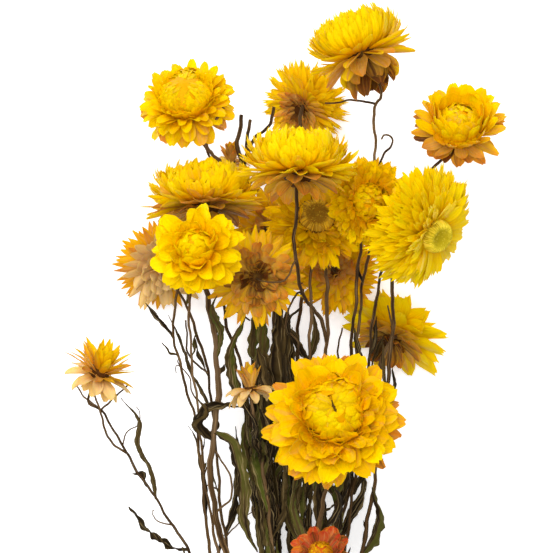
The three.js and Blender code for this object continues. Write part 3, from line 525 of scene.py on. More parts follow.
def evenly(points, step):
    # the same line with points at even steps, and the way it runs at each
    lengths = np.concatenate([[0], np.cumsum(np.linalg.norm(np.diff(points, axis=0), axis=1))])
    count = max(4, int(round(lengths[-1] / step)))
    spots = np.linspace(0, lengths[-1], count + 1)
    line = np.stack([np.interp(spots, lengths, points[:, k]) for k in range(3)], axis=1)
    ways = np.gradient(line, axis=0)
    return line, ways / np.linalg.norm(ways, axis=1, keepdims=True), spots


def carried(ways, first):
    # a side direction carried along the line without turning round it
    sides = []
    side = np.array(first, dtype=float)
    for way in ways:
        side = side - way * np.dot(side, way)
        side = side / np.linalg.norm(side)
        sides.append(side)
    return np.array(sides)


def bractWidth(t, point, waist):
    # shares of the full width: narrow root, broad upper half, and a tip from round to sharp
    widest = bractSheet["flat"] + (bractSheet["sharp"] - bractSheet["flat"]) * point
    rise = waist + (1 - waist) * np.sin(np.clip(t / widest, 0, 1) * math.pi / 2)
    fall = np.clip((t - widest) / (1 - widest), 0, 1)
    tip = (1 - point) * np.sqrt(np.maximum(1 - fall ** 3.4, 0)) + point * (1 - fall ** 1.4)
    return rise * np.maximum(tip, 0.34 * (1 - point) + 0.05)


def bractLine(row, rand, radius, heading, front, lobePhase, t):
    # how far out and how high the middle of a bract runs, in the upright plane that holds it
    def stray(name):
        return swing(rand, wander[name]) * row["stray"]

    if "dome" in row:
        wide, tall = row["dome"]
        # round an eye the tips dip inwards, and they leave a slit rather than a round hole
        slit = 1 + row["slit"] * math.cos(2 * heading - eye["slitTurn"])
        tip = max((row["tip"] + stray("tip")) * slit, 2)
        angle = np.radians(row["root"] + (tip - row["root"]) * t)
        off = row["flare"] * rand.random() * t ** 3
        swell = 1 + row["lobes"] * np.cos(3 * heading + lobePhase) * np.sin(angle)
        out = (wide + off) * np.sin(angle) * swell
        high = row["middle"] + (tall + off) * np.cos(angle) * swell - row["dip"] * t ** 4
        return out * radius, high * radius
    lean, curl = row["lean"] + stray("lean"), row["curl"] + stray("curl")
    press = row["press"]
    share = abs(press) * ((1 + math.copysign(1, press) * math.cos(heading - front)) / 2) ** pressed["fade"]
    if press > 0:
        curl += max(pressed["upright"] - curl, 0) * share
    else:
        lean, curl = lean - pressed["fallLean"] * share, curl - pressed["fallCurl"] * share
    if rand.random() < wander["wild"]:
        change = stray("wildLean")
        lean, curl = lean + change, curl + change * 1.6
    length = row["length"] * radius * (1 + stray("length")) * (1 - row["shorter"] * share)
    slope = np.radians(lean + (curl - lean) * t ** row["bend"])
    steps = np.diff(t) * length
    mean = (slope[1:] + slope[:-1]) / 2
    out = np.concatenate([[0], np.cumsum(np.cos(mean) * steps)])
    high = np.concatenate([[0], np.cumsum(np.sin(mean) * steps)])
    return row["start"] * radius + out, row["h"] * radius + high


def addBract(heap, rand, row, head, heading, front, lobePhase):
    sheet = bractSheet
    radius = head["across"] / 2 * head.get("size", 1)
    age = row["age"] + (head.get("age", 0) if row["age"] > 0.3 else 0)
    long = sheet["short"] if "dome" in row and row["fine"] else sheet["long"]
    wide, fork = (sheet["narrow"], sheet["fineFork"]) if row["fine"] else (sheet["wide"], sheet["fork"])
    t = 1 - (1 - np.linspace(0, 1, long + 1)) ** sheet["bunch"]
    out, high = bractLine(row, rand, radius, heading, front, lobePhase, t)
    high = high * np.where(high > 0, head.get("tall", 1), 1)
    slope = np.arctan2(np.gradient(high), np.gradient(out))
    radial, across, axis = spokes(heading)
    way, up = turned(radial, axis, slope)
    aside = swing(rand, wander["sway"]) * row["stray"] * abs(out[-1] - out[0]) * t ** 2
    middle = out[:, None] * radial + high[:, None] * axis + aside[:, None] * across
    side, up = turned(across, up, np.radians(swing(rand, wander["twist"])) * (0.4 + t) * row["stray"])
    half = row["width"] * radius * (1 + swing(rand, wander["width"])) / 2
    wave = wander["ruffle"] * row["stray"] * rand.random() * np.sin(anyPhase(rand) + t * 7)
    cup = row["cup"] * uneven(rand, wander["cup"])
    # from the line to a sheet: v runs across it
    v = np.linspace(-1, 1, wide + 1)[None, :, None]
    rough = np.array([[[1 + swing(rand, row["ragged"])] for j in range(wide + 1)] for i in range(long + 1)])
    half = (half * bractWidth(t, row["point"], row["waist"]))[:, None, None] * rough
    middle, way, side, up, wave = (part.reshape(long + 1, 1, -1) for part in (middle, way, side, up, wave))
    lift = half * (cup * v ** 2 + wave * v * np.abs(v))
    ends = np.array([[swing(rand)] for j in range(wide + 1)])[None, :, :] - fork * (1 - np.abs(v))
    notch = np.linspace(0, 1, long + 1)[:, None, None] ** sheet["notch"] * ends * row["ragged"]
    notch = notch * np.linalg.norm(middle[-1] - middle[0])
    centre = middle + side * (half * v) + up * lift + way * notch
    normal = up - side * (2 * cup * v + 2 * wave * np.abs(v))
    normal /= np.linalg.norm(normal, axis=2, keepdims=True)
    heap.addSheet(centre, normal, sheet["thick"], t, rand.random() + head.get("warm", 0), age)


def placeOf(head):
    # a bloom's own turn, and where its middle lies
    looking = Vector(head.get("tilt", head["faces"])).normalized()
    seat = np.array(head["at"], dtype=float) + head.get("nudge", (0, 0, 0))
    return np.array(Vector((0, 0, 1)).rotation_difference(looking).to_matrix()), seat


def addRound(heap, profile, age, tone=0.5, sides=16):
    # a closed body of revolution, from its lowest ring up
    reach, high = np.array(profile).T
    out, side, axis = spokes(0)
    points = ringsRound(high[:, None] * axis, out, side, reach[:, None, None], around(sides))
    heap.add(points, tubeFaces(len(profile), sides), 0.1, 0, tone, age)


domeBody = {"inside": 0.92, "from": 125, "to": 4, "rings": 12, "sides": 24}


def addDomeBody(heap, row, radius):
    # just under the bracts of a dome
    wide, tall = (side * domeBody["inside"] * radius for side in row["dome"])
    turns = np.radians(np.linspace(domeBody["from"], domeBody["to"], domeBody["rings"]))
    body = [(wide * math.sin(turn), row["middle"] * radius + tall * math.cos(turn)) for turn in turns]
    if row["slit"]:
        body[-2:] = [(eye["rim"] * radius, body[-3][1] - eye["sunk"] * radius)]
        floor = body[-1][1]
        pit = [(eye["wide"] * radius, floor + level * radius) for level in (-eye["bottom"], eye["top"])]
        addRound(heap, pit, 1.75, 1.0)
    addRound(heap, body, 0.1, 1.0, domeBody["sides"])


def makeHead(name, head, material):
    rand = random.Random("head " + name)
    radius = head["across"] / 2
    heap = Heap(*placeOf(head))
    rows = kinds[head.get("rows", head["kind"])]
    # what the bracts grow from: half widths and heights, as shares of the radius
    depth = coreDepth[head["kind"]]
    top = coreTop.get(head["kind"], coreTop["other"])
    core = [(0.07, -depth), (0.1, -depth * 0.98), (0.2, -depth * 0.7), (0.27, -depth * 0.3 - 0.02),
            (0.26, top * 0.5), (0.16, top), (0.06, top + 0.02)]
    addRound(heap, [(r * radius, h * radius) for r, h in core], 1.7)
    lobePhase = anyPhase(rand)
    upward = heap.turn.T @ np.array([0, 0, 1])
    front = math.atan2(upward[1], upward[0])
    seat = heap.seat
    domeSeat = seat - heap.turn @ spokes(front)[0] * head.get("off", 0) * radius
    if "dome" in rows[0]:
        heap.seat = domeSeat
        addDomeBody(heap, rows[0], radius)
    for row in rows:
        heap.seat = domeSeat if "dome" in row else seat
        begin = rand.random() * circle
        for n in range(row["count"]):
            heading = begin + (n + swing(rand, wander["turn"])) / row["count"] * circle
            addBract(heap, rand, row, head, heading, front, lobePhase)
    heap.make("bloom_" + name, "head_" + name, [material])


# the discs of the open blooms: a drum of fine ribs that bend over its rim into a dimple of packed florets
discs = {
    "h": {"profile": [(0.2, 0.14), (0.27, 0.18), (0.275, 0.26), (0.265, 0.36), (0.235, 0.43), (0.2, 0.46),
                      (0.165, 0.45), (0.13, 0.41), (0.095, 0.38), (0.06, 0.365), (0.02, 0.36)],
          "ribs": 120, "ribWide": 0.012, "dimple": 0.15, "florets": 260, "tall": 0.02, "broad": 0.012},
    "i": {"profile": [(0.2, 0.25), (0.3, 0.26), (0.335, 0.29), (0.345, 0.325), (0.325, 0.365), (0.28, 0.39),
                      (0.22, 0.4), (0.17, 0.38), (0.13, 0.34), (0.08, 0.3), (0.03, 0.285)],
          "ribs": 90, "ribWide": 0.016, "dimple": 0.2, "florets": 400, "tall": 0.04, "broad": 0.014},
}
ribSkin = {"step": 0.5, "sides": 4, "sway": 0.012, "wave": 1.4, "uneven": 0.3, "grain": 20, "speckle": 0.9}
ribTones = {"between": (-0.03, 0.05), "tones": (-0.6, 0.6)}  # paler outside than in the dimple
floretShape = np.array([(-0.7, 0.8), (0.5, 1.0), (1.0, 0.45)])  # how far up each ring is, and its width
goldenAngle = math.pi * (3 - math.sqrt(5))


def addFloret(heap, rand, disc, radius, r, h, turn):
    lean = math.pi / 2 + (rand.random() - 0.5) * 0.6
    out, side, axis = spokes(turn)
    up = out * math.cos(lean) + axis * math.sin(lean)
    tall = disc["tall"] * radius * uneven(rand, 0.5)
    line = out * r * radius + axis * h * radius + up * tall * floretShape[:, :1]
    reach = disc["broad"] * radius * floretShape[:, 1:, None]
    points = ringsRound(line, side, -np.cross(up, side), reach, around(4) + 0.6)
    heap.add(points, tubeFaces(3, 4), 0.5, 0, rand.random() * 0.5 - 0.9, 0)


def makeDisc(name, head, material):
    rand = random.Random("disc " + name)
    disc = discs[name]
    radius = head["across"] / 2
    heap = Heap(*placeOf(head))
    addRound(heap, [(r * radius, h * radius) for r, h in disc["profile"]], 0, -0.9, 32)
    outline = np.array(disc["profile"])
    for n in range(disc["ribs"]):
        turn = (n + 0.5 * rand.random()) / disc["ribs"] * circle
        out, side, axis = spokes(turn)
        line = (outline[1:-2, :1] * out + outline[1:-2, 1:] * axis) * radius
        line, ways, spots = evenly(line, ribSkin["step"])
        sway = swing(rand, ribSkin["sway"] * radius) * np.sin(spots * ribSkin["wave"] + anyPhase(rand))
        line = line + side * sway[:, None]
        wide = disc["ribWide"] * radius * uneven(rand, ribSkin["uneven"])
        rim = [disc["dimple"] + change for change in ribTones["between"]]
        tone = np.interp(np.hypot(line[:, 0], line[:, 1]) / radius, rim, ribTones["tones"])
        tone = tone + ribSkin["speckle"] * (rand.random() - 0.5)
        sides = ribSkin["sides"]
        points = ringsRound(line, side, np.cross(ways, side), wide, around(sides))
        along = np.repeat(spots / ribSkin["grain"], sides)
        heap.add(points, tubeFaces(len(line), sides), along, 0, np.repeat(tone, sides), 0)
    dimple = outline[:3:-1]
    for n in range(disc["florets"]):
        # evenly by area
        r = disc["dimple"] * math.sqrt((n + 0.5) / disc["florets"])
        addFloret(heap, rand, disc, radius, r, np.interp(r, dimple[:, 0], dimple[:, 1]), n * goldenAngle)
    heap.make("florets_" + name, "disc_" + name, [material], sharp=80)


# the stems: the place of each in the tie, its girth, how slim it gets above the tie, and its course
# a leaf has its width, its twist in degrees, its tone where that isn't left to chance, and its points
# a twig has its girth and its points
stems = {
    "q": {"slot": (2, 180), "girth": 0.95, "slim": 0.5,
          "through": [(-22, -40, 26), (-41, 0, 33), (-54, 21, 39), (-66, 40, 45), (-75, 56, 49)],
          "leaves": [
              (3, -80, None, (-54, 21, 39), (-56, 33, 43), (-62, 44, 47), (-61, 52, 49), (-68, 62, 47)),
              (4, 800, 0.35, (-41, 0, 33), (-50, 3, 35), (-58, 9, 37), (-65, 18, 38)),
          ],
          "twigs": [
              (0.5, (-75, 57, 49), (-81, 61, 40), (-87, 68, 38)),
              (0.5, (-76, 57, 49), (-71, 62, 44), (-65, 67, 42)),
              (0.55, (-66, 40, 45), (-73, 46, 48), (-76, 54, 50), (-77, 61, 51), (-81, 67, 50)),
          ]},
    "e": {"slot": (2, 210), "girth": 1.05, "slim": 0.5,
          "through": [(-20, -40, 21), (-32.5, 1, 27), (-35, 25, 31), (-38, 52, 36), (-44, 74, 41),
                      (-47, 92, 47), (-43, 110, 54)],
          "leaves": [
              (2.6, 50, None, (-46, 86, 44), (-52, 93, 45), (-58, 100, 46)),
              (2.4, 80, None, (-33, 10, 29), (-34, 20, 24), (-35, 34, 22), (-34, 48, 24)),
          ]},
    "a": {"slot": (1, 180), "girth": 0.95, "slim": 0.5,
          "through": [(-17, -45, 24), (-33, 20, 36), (-37, 57, 44), (-40, 84, 49), (-40, 104, 50),
                      (-36, 124, 42), (-29, 140, 31), (-26, 150, 30), (-33, 160, 35)],
          "twigs": [
              (0.9, (-28, 153, 31), (-28.5, 157, 38), (-33.5, 163, 50), (-34, 168, 60), (-30, 173, 66),
               (-26.5, 178, 68)),
          ]},
    "m": {"slot": (2, 240), "girth": 1.05, "slim": 0.52,
          "through": [(-14, -45, 18), (-27, 10, 26), (-30, 45, 32), (-34, 76, 35), (-42, 99, 32)],
          "leaves": [
              (2.4, 90, None, (-31, 55, 33), (-37, 68, 34), (-43, 82, 34), (-49, 95, 31)),
              (4.4, 100, None, (-27, 5, 25), (-22, 18, 21), (-20, 34, 20), (-22, 50, 22)),
          ],
          "twigs": [
              (0.5, (-34, 72, 36), (-41, 80, 38), (-42, 93, 37)),
          ]},
    "g": {"slot": (2, 150), "girth": 1.3, "slim": 0.85,
          "through": [(-14, -40, 30), (-26.5, 1, 38), (-31.5, 25, 44), (-31.5, 40, 47), (-29, 60, 51),
                      (-29.5, 80, 58), (-32, 98, 66), (-34.5, 110, 82)],
          "leaves": [
              (5.4, 260, 0.45, (-31.5, 47, 49), (-38, 51, 52), (-34, 57, 56), (-26, 60, 56), (-19, 61, 55)),
              (5, 100, 0.4, (-31, 45, 48), (-36, 50, 54), (-33, 57, 58), (-37, 62, 59)),
              (4, 60, None, (-29.5, 78, 57), (-27, 88, 64), (-31, 97, 75), (-29, 103, 78)),
              (6, 70, 0.75, (-31, 48, 49), (-23, 44, 54), (-19, 28, 54), (-18, 11, 53), (-13, 0, 50)),
          ],
          "twigs": [
              (0.5, (-29, 60, 51), (-24, 59, 56), (-18, 58, 59)),
              (0.5, (-28.5, 15, 41), (-24, 22, 44), (-24.5, 32, 47), (-31, 42, 47)),
          ]},
    "r": {"slot": (2, 120), "girth": 1,
          "through": [(-5, -40, 31), (-7, 0, 40), (-11, 35, 52)],
          "leaves": [
              (8.4, 40, None, (-10, 30, 50), (-7, 48, 56), (-8, 66, 62), (-13, 82, 63)),
              (5, 80, None, (-7, 5, 41), (-2, 16, 46), (-1, 32, 50), (-4, 44, 52)),
          ]},
    "t": {"slot": (1, 120), "girth": 0.9,
          "through": [(-5, -40, 25), (-10, 10, 35), (-15, 45, 45), (-20, 76, 49), (-25, 90, 47),
                      (-27, 104, 41), (-26, 130, 24)],
          "leaves": [
              (5.6, 40, None, (-16, 56, 46), (-22, 66, 53), (-23, 80, 58), (-18, 94, 60)),
              (6, 70, None, (-11, 20, 37), (-15, 32, 36), (-17, 46, 36), (-15, 60, 37)),
          ],
          "twigs": [
              (0.5, (-26, 97, 44), (-21, 96, 50), (-16, 93, 53)),
              (1.25, (-26, 135, 21), (-19.5, 146, 22), (-18.8, 156, 24), (-21.2, 163, 26), (-20.8, 168, 26),
               (-19.6, 176, 27)),
              (1.05, (-26, 135, 21), (-19.5, 146, 22), (-18.8, 156, 24), (-17.2, 165, 25), (-16, 174, 27)),
          ]},
    "s": {"slot": (2, 90), "girth": 0.9, "slim": 0.8,
          "through": [(5, -50, 44), (10, -22, 68)],
          "leaves": [
              (4, 60, None, (7, -36, 57), (2, -26, 62), (1, -12, 67), (5, -2, 71)),
          ]},
    "p": {"slot": (1, 60), "girth": 1, "slim": 0.8,
          "through": [(3, -45, 31), (9, 0, 58), (14, 24, 76), (16.5, 41, 90)],
          "leaves": [
              (4.4, 60, None, (10, 2, 59), (16, 10, 66), (20, 20, 71), (17, 28, 74)),
              (4.4, 70, None, (9, -2, 57), (4, 10, 58), (2, 24, 59), (4, 36, 62)),
          ]},
    "n": {"slot": (2, 60), "girth": 1.15,
          "through": [(8, -45, 28), (11, 0, 39), (13, 45, 50), (14.4, 80, 56), (15, 92, 55), (14.8, 106, 46)],
          "leaves": [
              (5, 70, None, (12, 22, 45), (17, 34, 49), (19, 48, 52), (17, 62, 54)),
          ]},
    "f": {"on": "n", "girth": 0.85, "slim": 0.85,
          "through": [(14.4, 84, 56), (12.4, 94, 62), (6.8, 100, 74), (3.4, 110, 83), (1.6, 124, 90)],
          "twigs": [
              (0.5, (7, 99, 73), (4, 104, 84), (0, 100, 89), (-2, 90, 87)),
          ]},
    "l": {"on": "f", "girth": 0.7, "slim": 0.5,
          "through": [(2.6, 117, 86.5), (-3, 109, 90)]},
    "j": {"slot": (2, 30), "girth": 1,
          "through": [(15, -20, 33), (20, 30, 42), (24, 75, 47), (27, 110, 52), (28, 130, 56)],
          "leaves": [
              (5, 70, None, (22, 50, 44), (28, 60, 47), (29, 74, 50), (26, 90, 54)),
          ],
          "twigs": [
              (0.5, (24, 66, 46), (19.5, 80, 49), (21, 90, 50)),
          ]},
    "h": {"slot": (2, 0), "girth": 1.1,
          "through": [(18, -45, 26), (29, 0, 38), (35, 36, 48), (38.5, 65, 55), (41, 90, 61), (41, 108, 65),
                      (40, 125, 69)],
          "leaves": [
              (5.4, 60, None, (29, -4, 37), (35, 6, 42), (36, 18, 46), (33, 26, 49)),
              (3, 80, None, (38, 62, 54), (42, 66, 58), (41, 74, 61)),
              (4, 70, None, (22, -30, 31), (30, -24, 33), (36, -12, 33)),
          ],
          "twigs": [
              (0.5, (40.5, 90, 61), (39, 99, 66)),
          ]},
    "c": {"slot": (1, 0), "girth": 0.9,
          "through": [(12, -40, 24), (20, 20, 34), (26, 70, 40), (29, 105, 43), (33, 130, 48), (34, 160, 52),
                      (34, 178, 60)],
          "leaves": [
              (5, 60, None, (20, 18, 34), (15, 30, 34), (13, 46, 36), (16, 60, 38)),
          ],
          "twigs": [
              (0.5, (34, 181, 61), (24, 181, 57), (14, 180, 56)),
              (0.5, (34, 151, 51), (36, 156, 53), (38, 160, 55), (41, 162.5, 56), (41.6, 165, 57),
               (40, 167, 58), (37.5, 167, 58), (36.6, 165.4, 58)),
          ]},
    "d": {"slot": (2, 330), "girth": 0.9,
          "through": [(16, -40, 20), (25, 20, 29), (31, 70, 34), (36, 108, 38), (44, 130, 42), (54, 150, 42)],
          "leaves": [
              (4.4, 80, None, (25, 22, 29), (31, 34, 32), (34, 50, 33), (32, 62, 32)),
          ]},
    "o": {"slot": (2, 300), "girth": 1,
          "through": [(11, -40, 14), (23, 20, 20), (32, 60, 25), (37, 76, 29)],
          "leaves": [
              (4.4, 60, None, (19, 0, 18), (24, 12, 16), (30, 24, 16), (28, 38, 15)),
          ]},
    "i": {"slot": (0, 0), "girth": 0.95,
          "through": [(3, -40, 24), (6, 20, 33), (8, 80, 40), (8.5, 104, 38), (8.5, 118, 36)],
          "leaves": [
              (8, 30, None, (7, 30, 34), (0, 48, 36), (-2, 70, 38), (-1, 98, 42)),
              (6.4, 60, None, (7, 34, 35), (1, 46, 41), (-1, 62, 44), (-2, 80, 45)),
              (4, 80, None, (8, 76, 40), (3, 84, 46), (0, 92, 49), (5, 99, 50)),
              (5, 60, None, (5, 2, 30), (0, 14, 31), (-1, 28, 34), (2, 40, 36)),
          ],
          "twigs": [
              (0.5, (8, 70, 39), (3, 76, 45), (3, 84, 51), (0, 88, 53)),
          ]},
    "k": {"slot": (1, 240), "girth": 1, "slim": 0.8,
          "through": [(-3, -40, 14), (-5, 20, 22), (-6, 80, 30), (-7, 110, 41)],
          "leaves": [
              (6, 90, None, (-6, 40, 25), (-12, 50, 26), (-13, 66, 27), (-15, 84, 26)),
              (5, -70, None, (-5, 0, 20), (-12, 12, 20), (-15, 26, 22), (-12, 40, 22)),
              (5, 60, None, (-5.5, 50, 27), (-1, 60, 24), (2, 74, 21), (1, 90, 18)),
              (9, 25, None, (-5.5, 36, 25), (-10, 55, 34), (-11, 78, 38), (-10, 101, 40)),
              (9, -30, None, (-5.5, 44, 26), (-4, 62, 36), (-5, 82, 40), (-5, 103, 41)),
              (8, 20, None, (-5, 4, 20), (-11, 22, 34), (-14, 46, 38), (-13, 74, 40)),
              (7, 60, None, (-6, 60, 28), (-13, 76, 33), (-14, 90, 35), (-12, 104, 35)),
          ]},
    "b": {"slot": (2, 270), "girth": 0.9, "slim": 0.8,
          "through": [(0, -40, 7), (2, 20, 6), (3, 80, 6), (6, 120, 8), (6, 145, 16), (4, 162, 24)],
          "leaves": [
              (5, 90, None, (2, 16, 6), (-5, 26, 10), (-9, 42, 12), (-6, 58, 13)),
              (5, 60, None, (3, 60, 6), (8, 72, 9), (11, 86, 11), (9, 98, 11)),
          ],
          "twigs": [
              (0.9, (5, 155, 22), (-10, 157, 26), (-17, 160, 30), (-14.5, 165.5, 32), (-11, 169, 34),
               (-8, 172.5, 35), (-6.5, 179, 36)),
          ]},
}
stemGirth = {"cut": 1.65, "tie": 1.35, "middle": 1.05, "neck": 0.95, "neckAt": 120}
slimming = {"between": (-50, 15), "share": 0.66}
stemRun = {"cutShort": 84, "cutLong": 104, "splay": 2.26, "neck": 8, "gap": 0.3, "into": 0.12, "seed": 7}
stemSkin = {"sides": 10, "step": 1.6, "ribs": 0.15, "wobble": 0.22}
twigSkin = {"sides": 6, "step": 1.0, "ribs": 0.08, "wobble": 0.3, "taper": 0.3}
tendrilSkin = {"sides": 5, "step": 0.9, "ribs": 0.06, "wobble": 0.15, "taper": 0.5}
bark = {"ribs": 5, "spiral": 0.02, "waves": (11, 23, 5), "fade": 6, "knot": 0.12, "knotEvery": 17,
        "grain": 60}
leafSheet = {"step": 1, "short": 12, "long": 48, "wide": 6, "thick": 0.24}
leafBend = {"turn": 0.3, "sway": 0.02, "ruffle": 0.16, "crumple": 0.34, "roll": 0.5, "moreRoll": 1.3,
            "rollWave": 0.45, "leastRoll": 0.2}
leafWidths = ([0, 0.1, 0.3, 0.55, 0.8, 0.93, 1], [0.3, 0.6, 0.95, 1, 0.7, 0.4, 0.1])
# the leaves that cling to a stem: few and small on most, many and broad in the middle of the bunch
smallLeaves = {"every": 40, "long": (8, 24), "width": (1.2, 2.8), "from": -70, "to": 112, "twist": 420}
thickLeaves = {"every": 7, "long": (18, 50), "width": (2.6, 6.2), "from": -70, "to": 44, "twist": 300}
leafy = "kirtbnj"
# how such a leaf runs beside its stem: millimetres off it, and how far it bows and follows
cling = {"at": (0.3, 0.65, 1.0), "off": 2.2, "moreOff": 3.2, "bow": 2.4, "follow": 0.9, "clear": 20}
tendrils = {"each": 3, "from": 0, "to": 105, "long": (9, 26), "thick": 0.36, "steps": 9, "lean": 0.4,
            "moreLean": 0.6, "hook": 5, "back": 0.3, "wander": 0.7, "clear": 25}


def cutShares():
    # the same draws as the solids, so that every stem ends where they do
    state = stemRun["seed"]
    shares = {}
    for name, stem in stems.items():
        if "slot" in stem:
            state = state * 16807 % 2147483647
            shares[name] = state / 2147483647
    return shares


def neckPoints(name):
    # where a stem ends under its bloom, and the way that the bloom looks
    head = heads[name]
    looking = np.array(Vector(head["faces"]).normalized())
    neck = np.array(head["at"]) - looking * (coreDepth[head["kind"]] * head["across"] / 2 + stemRun["gap"])
    return [neck - looking * stemRun["neck"], neck], looking


def stemRoute(name, stem, share):
    middle = np.array([0, tie["y"], tie["z"]])
    ring, angle = stem["slot"]
    angle = math.radians(angle)
    held = middle + np.array([math.cos(angle), 0, math.sin(angle)]) * ring * tie["pitch"]
    end = (held - middle) * stemRun["splay"] + middle
    end[1] = tie["y"] - (stemRun["cutShort"] + (stemRun["cutLong"] - stemRun["cutShort"]) * share)
    run = np.array([0, tie["run"], 0])
    return route([end, held - run, held + run, *stem["through"], *neckPoints(name)[0]])


def grownFrom(samples, path):
    nearest = samples[np.argmin(np.linalg.norm(samples - np.array(path[0]), axis=1))]
    return [nearest, *path[1:]]


def girthAt(y):
    girth = stemGirth
    if y < tie["y"]:
        share = (y - (tie["y"] - stemRun["cutLong"])) / stemRun["cutLong"]
        return girth["cut"] + (girth["tie"] - girth["cut"]) * share
    if y < 0:
        return girth["tie"] + (girth["middle"] - girth["tie"]) * (1 - y / tie["y"])
    return max(girth["neck"], girth["middle"] + (girth["neck"] - girth["middle"]) * y / girth["neckAt"])


def addTube(heap, rand, samples, radiusAt, skin):
    # a ribbed stem or twig with knots, that wavers a little
    tone = rand.random()
    sides = skin["sides"]
    line, ways, spots = evenly(samples, skin["step"])
    side = carried(ways, (0.1, 0.05, 1))
    other = np.cross(ways, side)
    fade = np.clip(np.minimum(spots, spots[-1] - spots) / bark["fade"], 0, 1)
    for direction in (side, other):
        for waveLength in bark["waves"]:
            phase = anyPhase(rand)
            waver = skin["wobble"] * (waveLength / 16) * np.sin(spots / waveLength * circle + phase)
            line = line + direction * (waver * fade)[:, None]
    turn = anyPhase(rand) + spots * bark["spiral"]
    radius = np.array([radiusAt(point, spot / spots[-1]) for point, spot in zip(line, spots)])
    knots = 1 + bark["knot"] * np.maximum(0, np.sin(spots / bark["knotEvery"] + anyPhase(rand))) ** 8
    rib = 1 + skin["ribs"] * np.cos(bark["ribs"] * (around(sides)[None, :] + turn[:, None]))
    reach = (radius * knots)[:, None] * rib
    across = np.tile(np.abs(np.linspace(-1, 1, sides, endpoint=False)) * 2, len(line))
    heap.add(ringsRound(line, side, other, reach[:, :, None], around(sides)), tubeFaces(len(line), sides),
             np.repeat(spots / bark["grain"], sides), across, tone, 0)


def waveOf(rand, along, across):
    # a smooth uneven wave over a leaf, between about -1 and 1
    total = 0
    for lengthwise, sideways, share in ((0.5, 0.8, 0.45), (1.0, 2.1, 0.35), (1.7, 3.0, 0.25)):
        slant = across * swing(rand, sideways)
        total = total + share * np.sin(along * lengthwise + slant + anyPhase(rand))
    return total


def addLeaf(heap, rand, path, width, twist, tone=None):
    # a dry leaf: its edges rolled in, crumpled all over, and twisted on its way
    drawn = rand.random()
    samples = route(path, 60)
    length = np.linalg.norm(np.diff(samples, axis=0), axis=1).sum()
    long = int(np.clip(length / leafSheet["step"], leafSheet["short"], leafSheet["long"]))
    line, ways, spots = evenly(samples, length / long)
    t = np.linspace(0, 1, len(line))
    side = carried(ways, (1, 0, 0))
    turn = np.radians(twist) * t + leafBend["turn"] * np.sin(t * 9 + anyPhase(rand))
    side, up = turned(side, np.cross(ways, side), turn)
    sway = leafBend["sway"] * length * np.sin(t * math.pi) * np.sin(t * 8 + anyPhase(rand))
    line = line + up * sway[:, None]
    half = width / 2 * np.interp(t, *leafWidths) * (1 + leafBend["ruffle"] * waveOf(rand, spots, 0))
    roll = leafBend["roll"] + leafBend["moreRoll"] * rand.random()
    roll = roll * (1 + leafBend["rollWave"] * waveOf(rand, spots * 0.5, 0))
    roll = np.maximum(roll, leafBend["leastRoll"])
    # from the line to a sheet: v runs across it
    line, side, up, half, roll, spots = (part.reshape(len(t), 1, -1)
                                         for part in (line, side, up, half, roll, spots))
    v = np.linspace(-1, 1, leafSheet["wide"] + 1)[None, :, None]
    normal = up * np.cos(roll * v) - side * np.sin(roll * v)
    crumple = half * leafBend["crumple"] * waveOf(rand, spots, v * 2)
    centre = (line + side * half * np.sin(roll * v) / roll + up * half * (1 - np.cos(roll * v)) / roll
              + normal * crumple)
    tone = drawn if tone is None else tone
    heap.addSheet(centre, normal, leafSheet["thick"], t * length / bark["grain"], tone, 0, 1)


def awayFrom(rand, way):
    # a direction square to the stem, and the one square to both
    side = carried(way[None, :], (0, 0.1, 1))[0]
    turn = rand.random() * circle
    away = side * math.cos(turn) + np.cross(way, side) * math.sin(turn)
    return away, np.cross(way, away)


def addSmallLeaves(heap, rand, samples, kind):
    line, ways, spots = evenly(samples, 1)
    spot = rand.random() * kind["every"]
    while spot < spots[-1] - cling["clear"]:
        k = int(spot)
        spot += kind["every"] * uneven(rand, 0.4)
        if not kind["from"] < line[k][1] < kind["to"]:
            continue
        length, width = (low + (high - low) * rand.random() for low, high in (kind["long"], kind["width"]))
        away, bow = awayFrom(rand, ways[k])
        off = cling["off"] + cling["moreOff"] * rand.random()
        path = [line[k]]
        for share in cling["at"]:
            beside = line[min(k + int(length * share * cling["follow"]), len(line) - 1)]
            path.append(beside + away * off * share ** 0.6 + bow * cling["bow"] * swing(rand) * share)
        addLeaf(heap, rand, path, width, swing(rand, kind["twist"]))


def addTendrils(heap, rand, samples):
    # thin dry side shoots that end in a hook
    line, ways, spots = evenly(samples, 1)
    steps = tendrils["steps"]
    for n in range(tendrils["each"]):
        k = rand.randrange(len(line) - tendrils["clear"])
        low, high = tendrils["long"]
        length = low + (high - low) * rand.random()
        away, bow = awayFrom(rand, ways[k])
        if not tendrils["from"] < line[k][1] < tendrils["to"]:
            continue
        angle = tendrils["lean"] + tendrils["moreLean"] * rand.random()
        hook = (rand.random() - tendrils["back"]) * tendrils["hook"]
        path = [line[k]]
        for step in range(steps):
            toward = ways[k] * math.cos(angle) + away * math.sin(angle) * 0.8 + bow * math.sin(angle * 2) / 2
            path.append(path[-1] + toward * length / steps)
            angle += hook * (step / steps) ** 2 * 0.9 + (rand.random() - 0.5) * tendrils["wander"]
        addTube(heap, rand, route(path, 40),
                lambda p, s: tendrils["thick"] * (1 - tendrilSkin["taper"] * s), tendrilSkin)


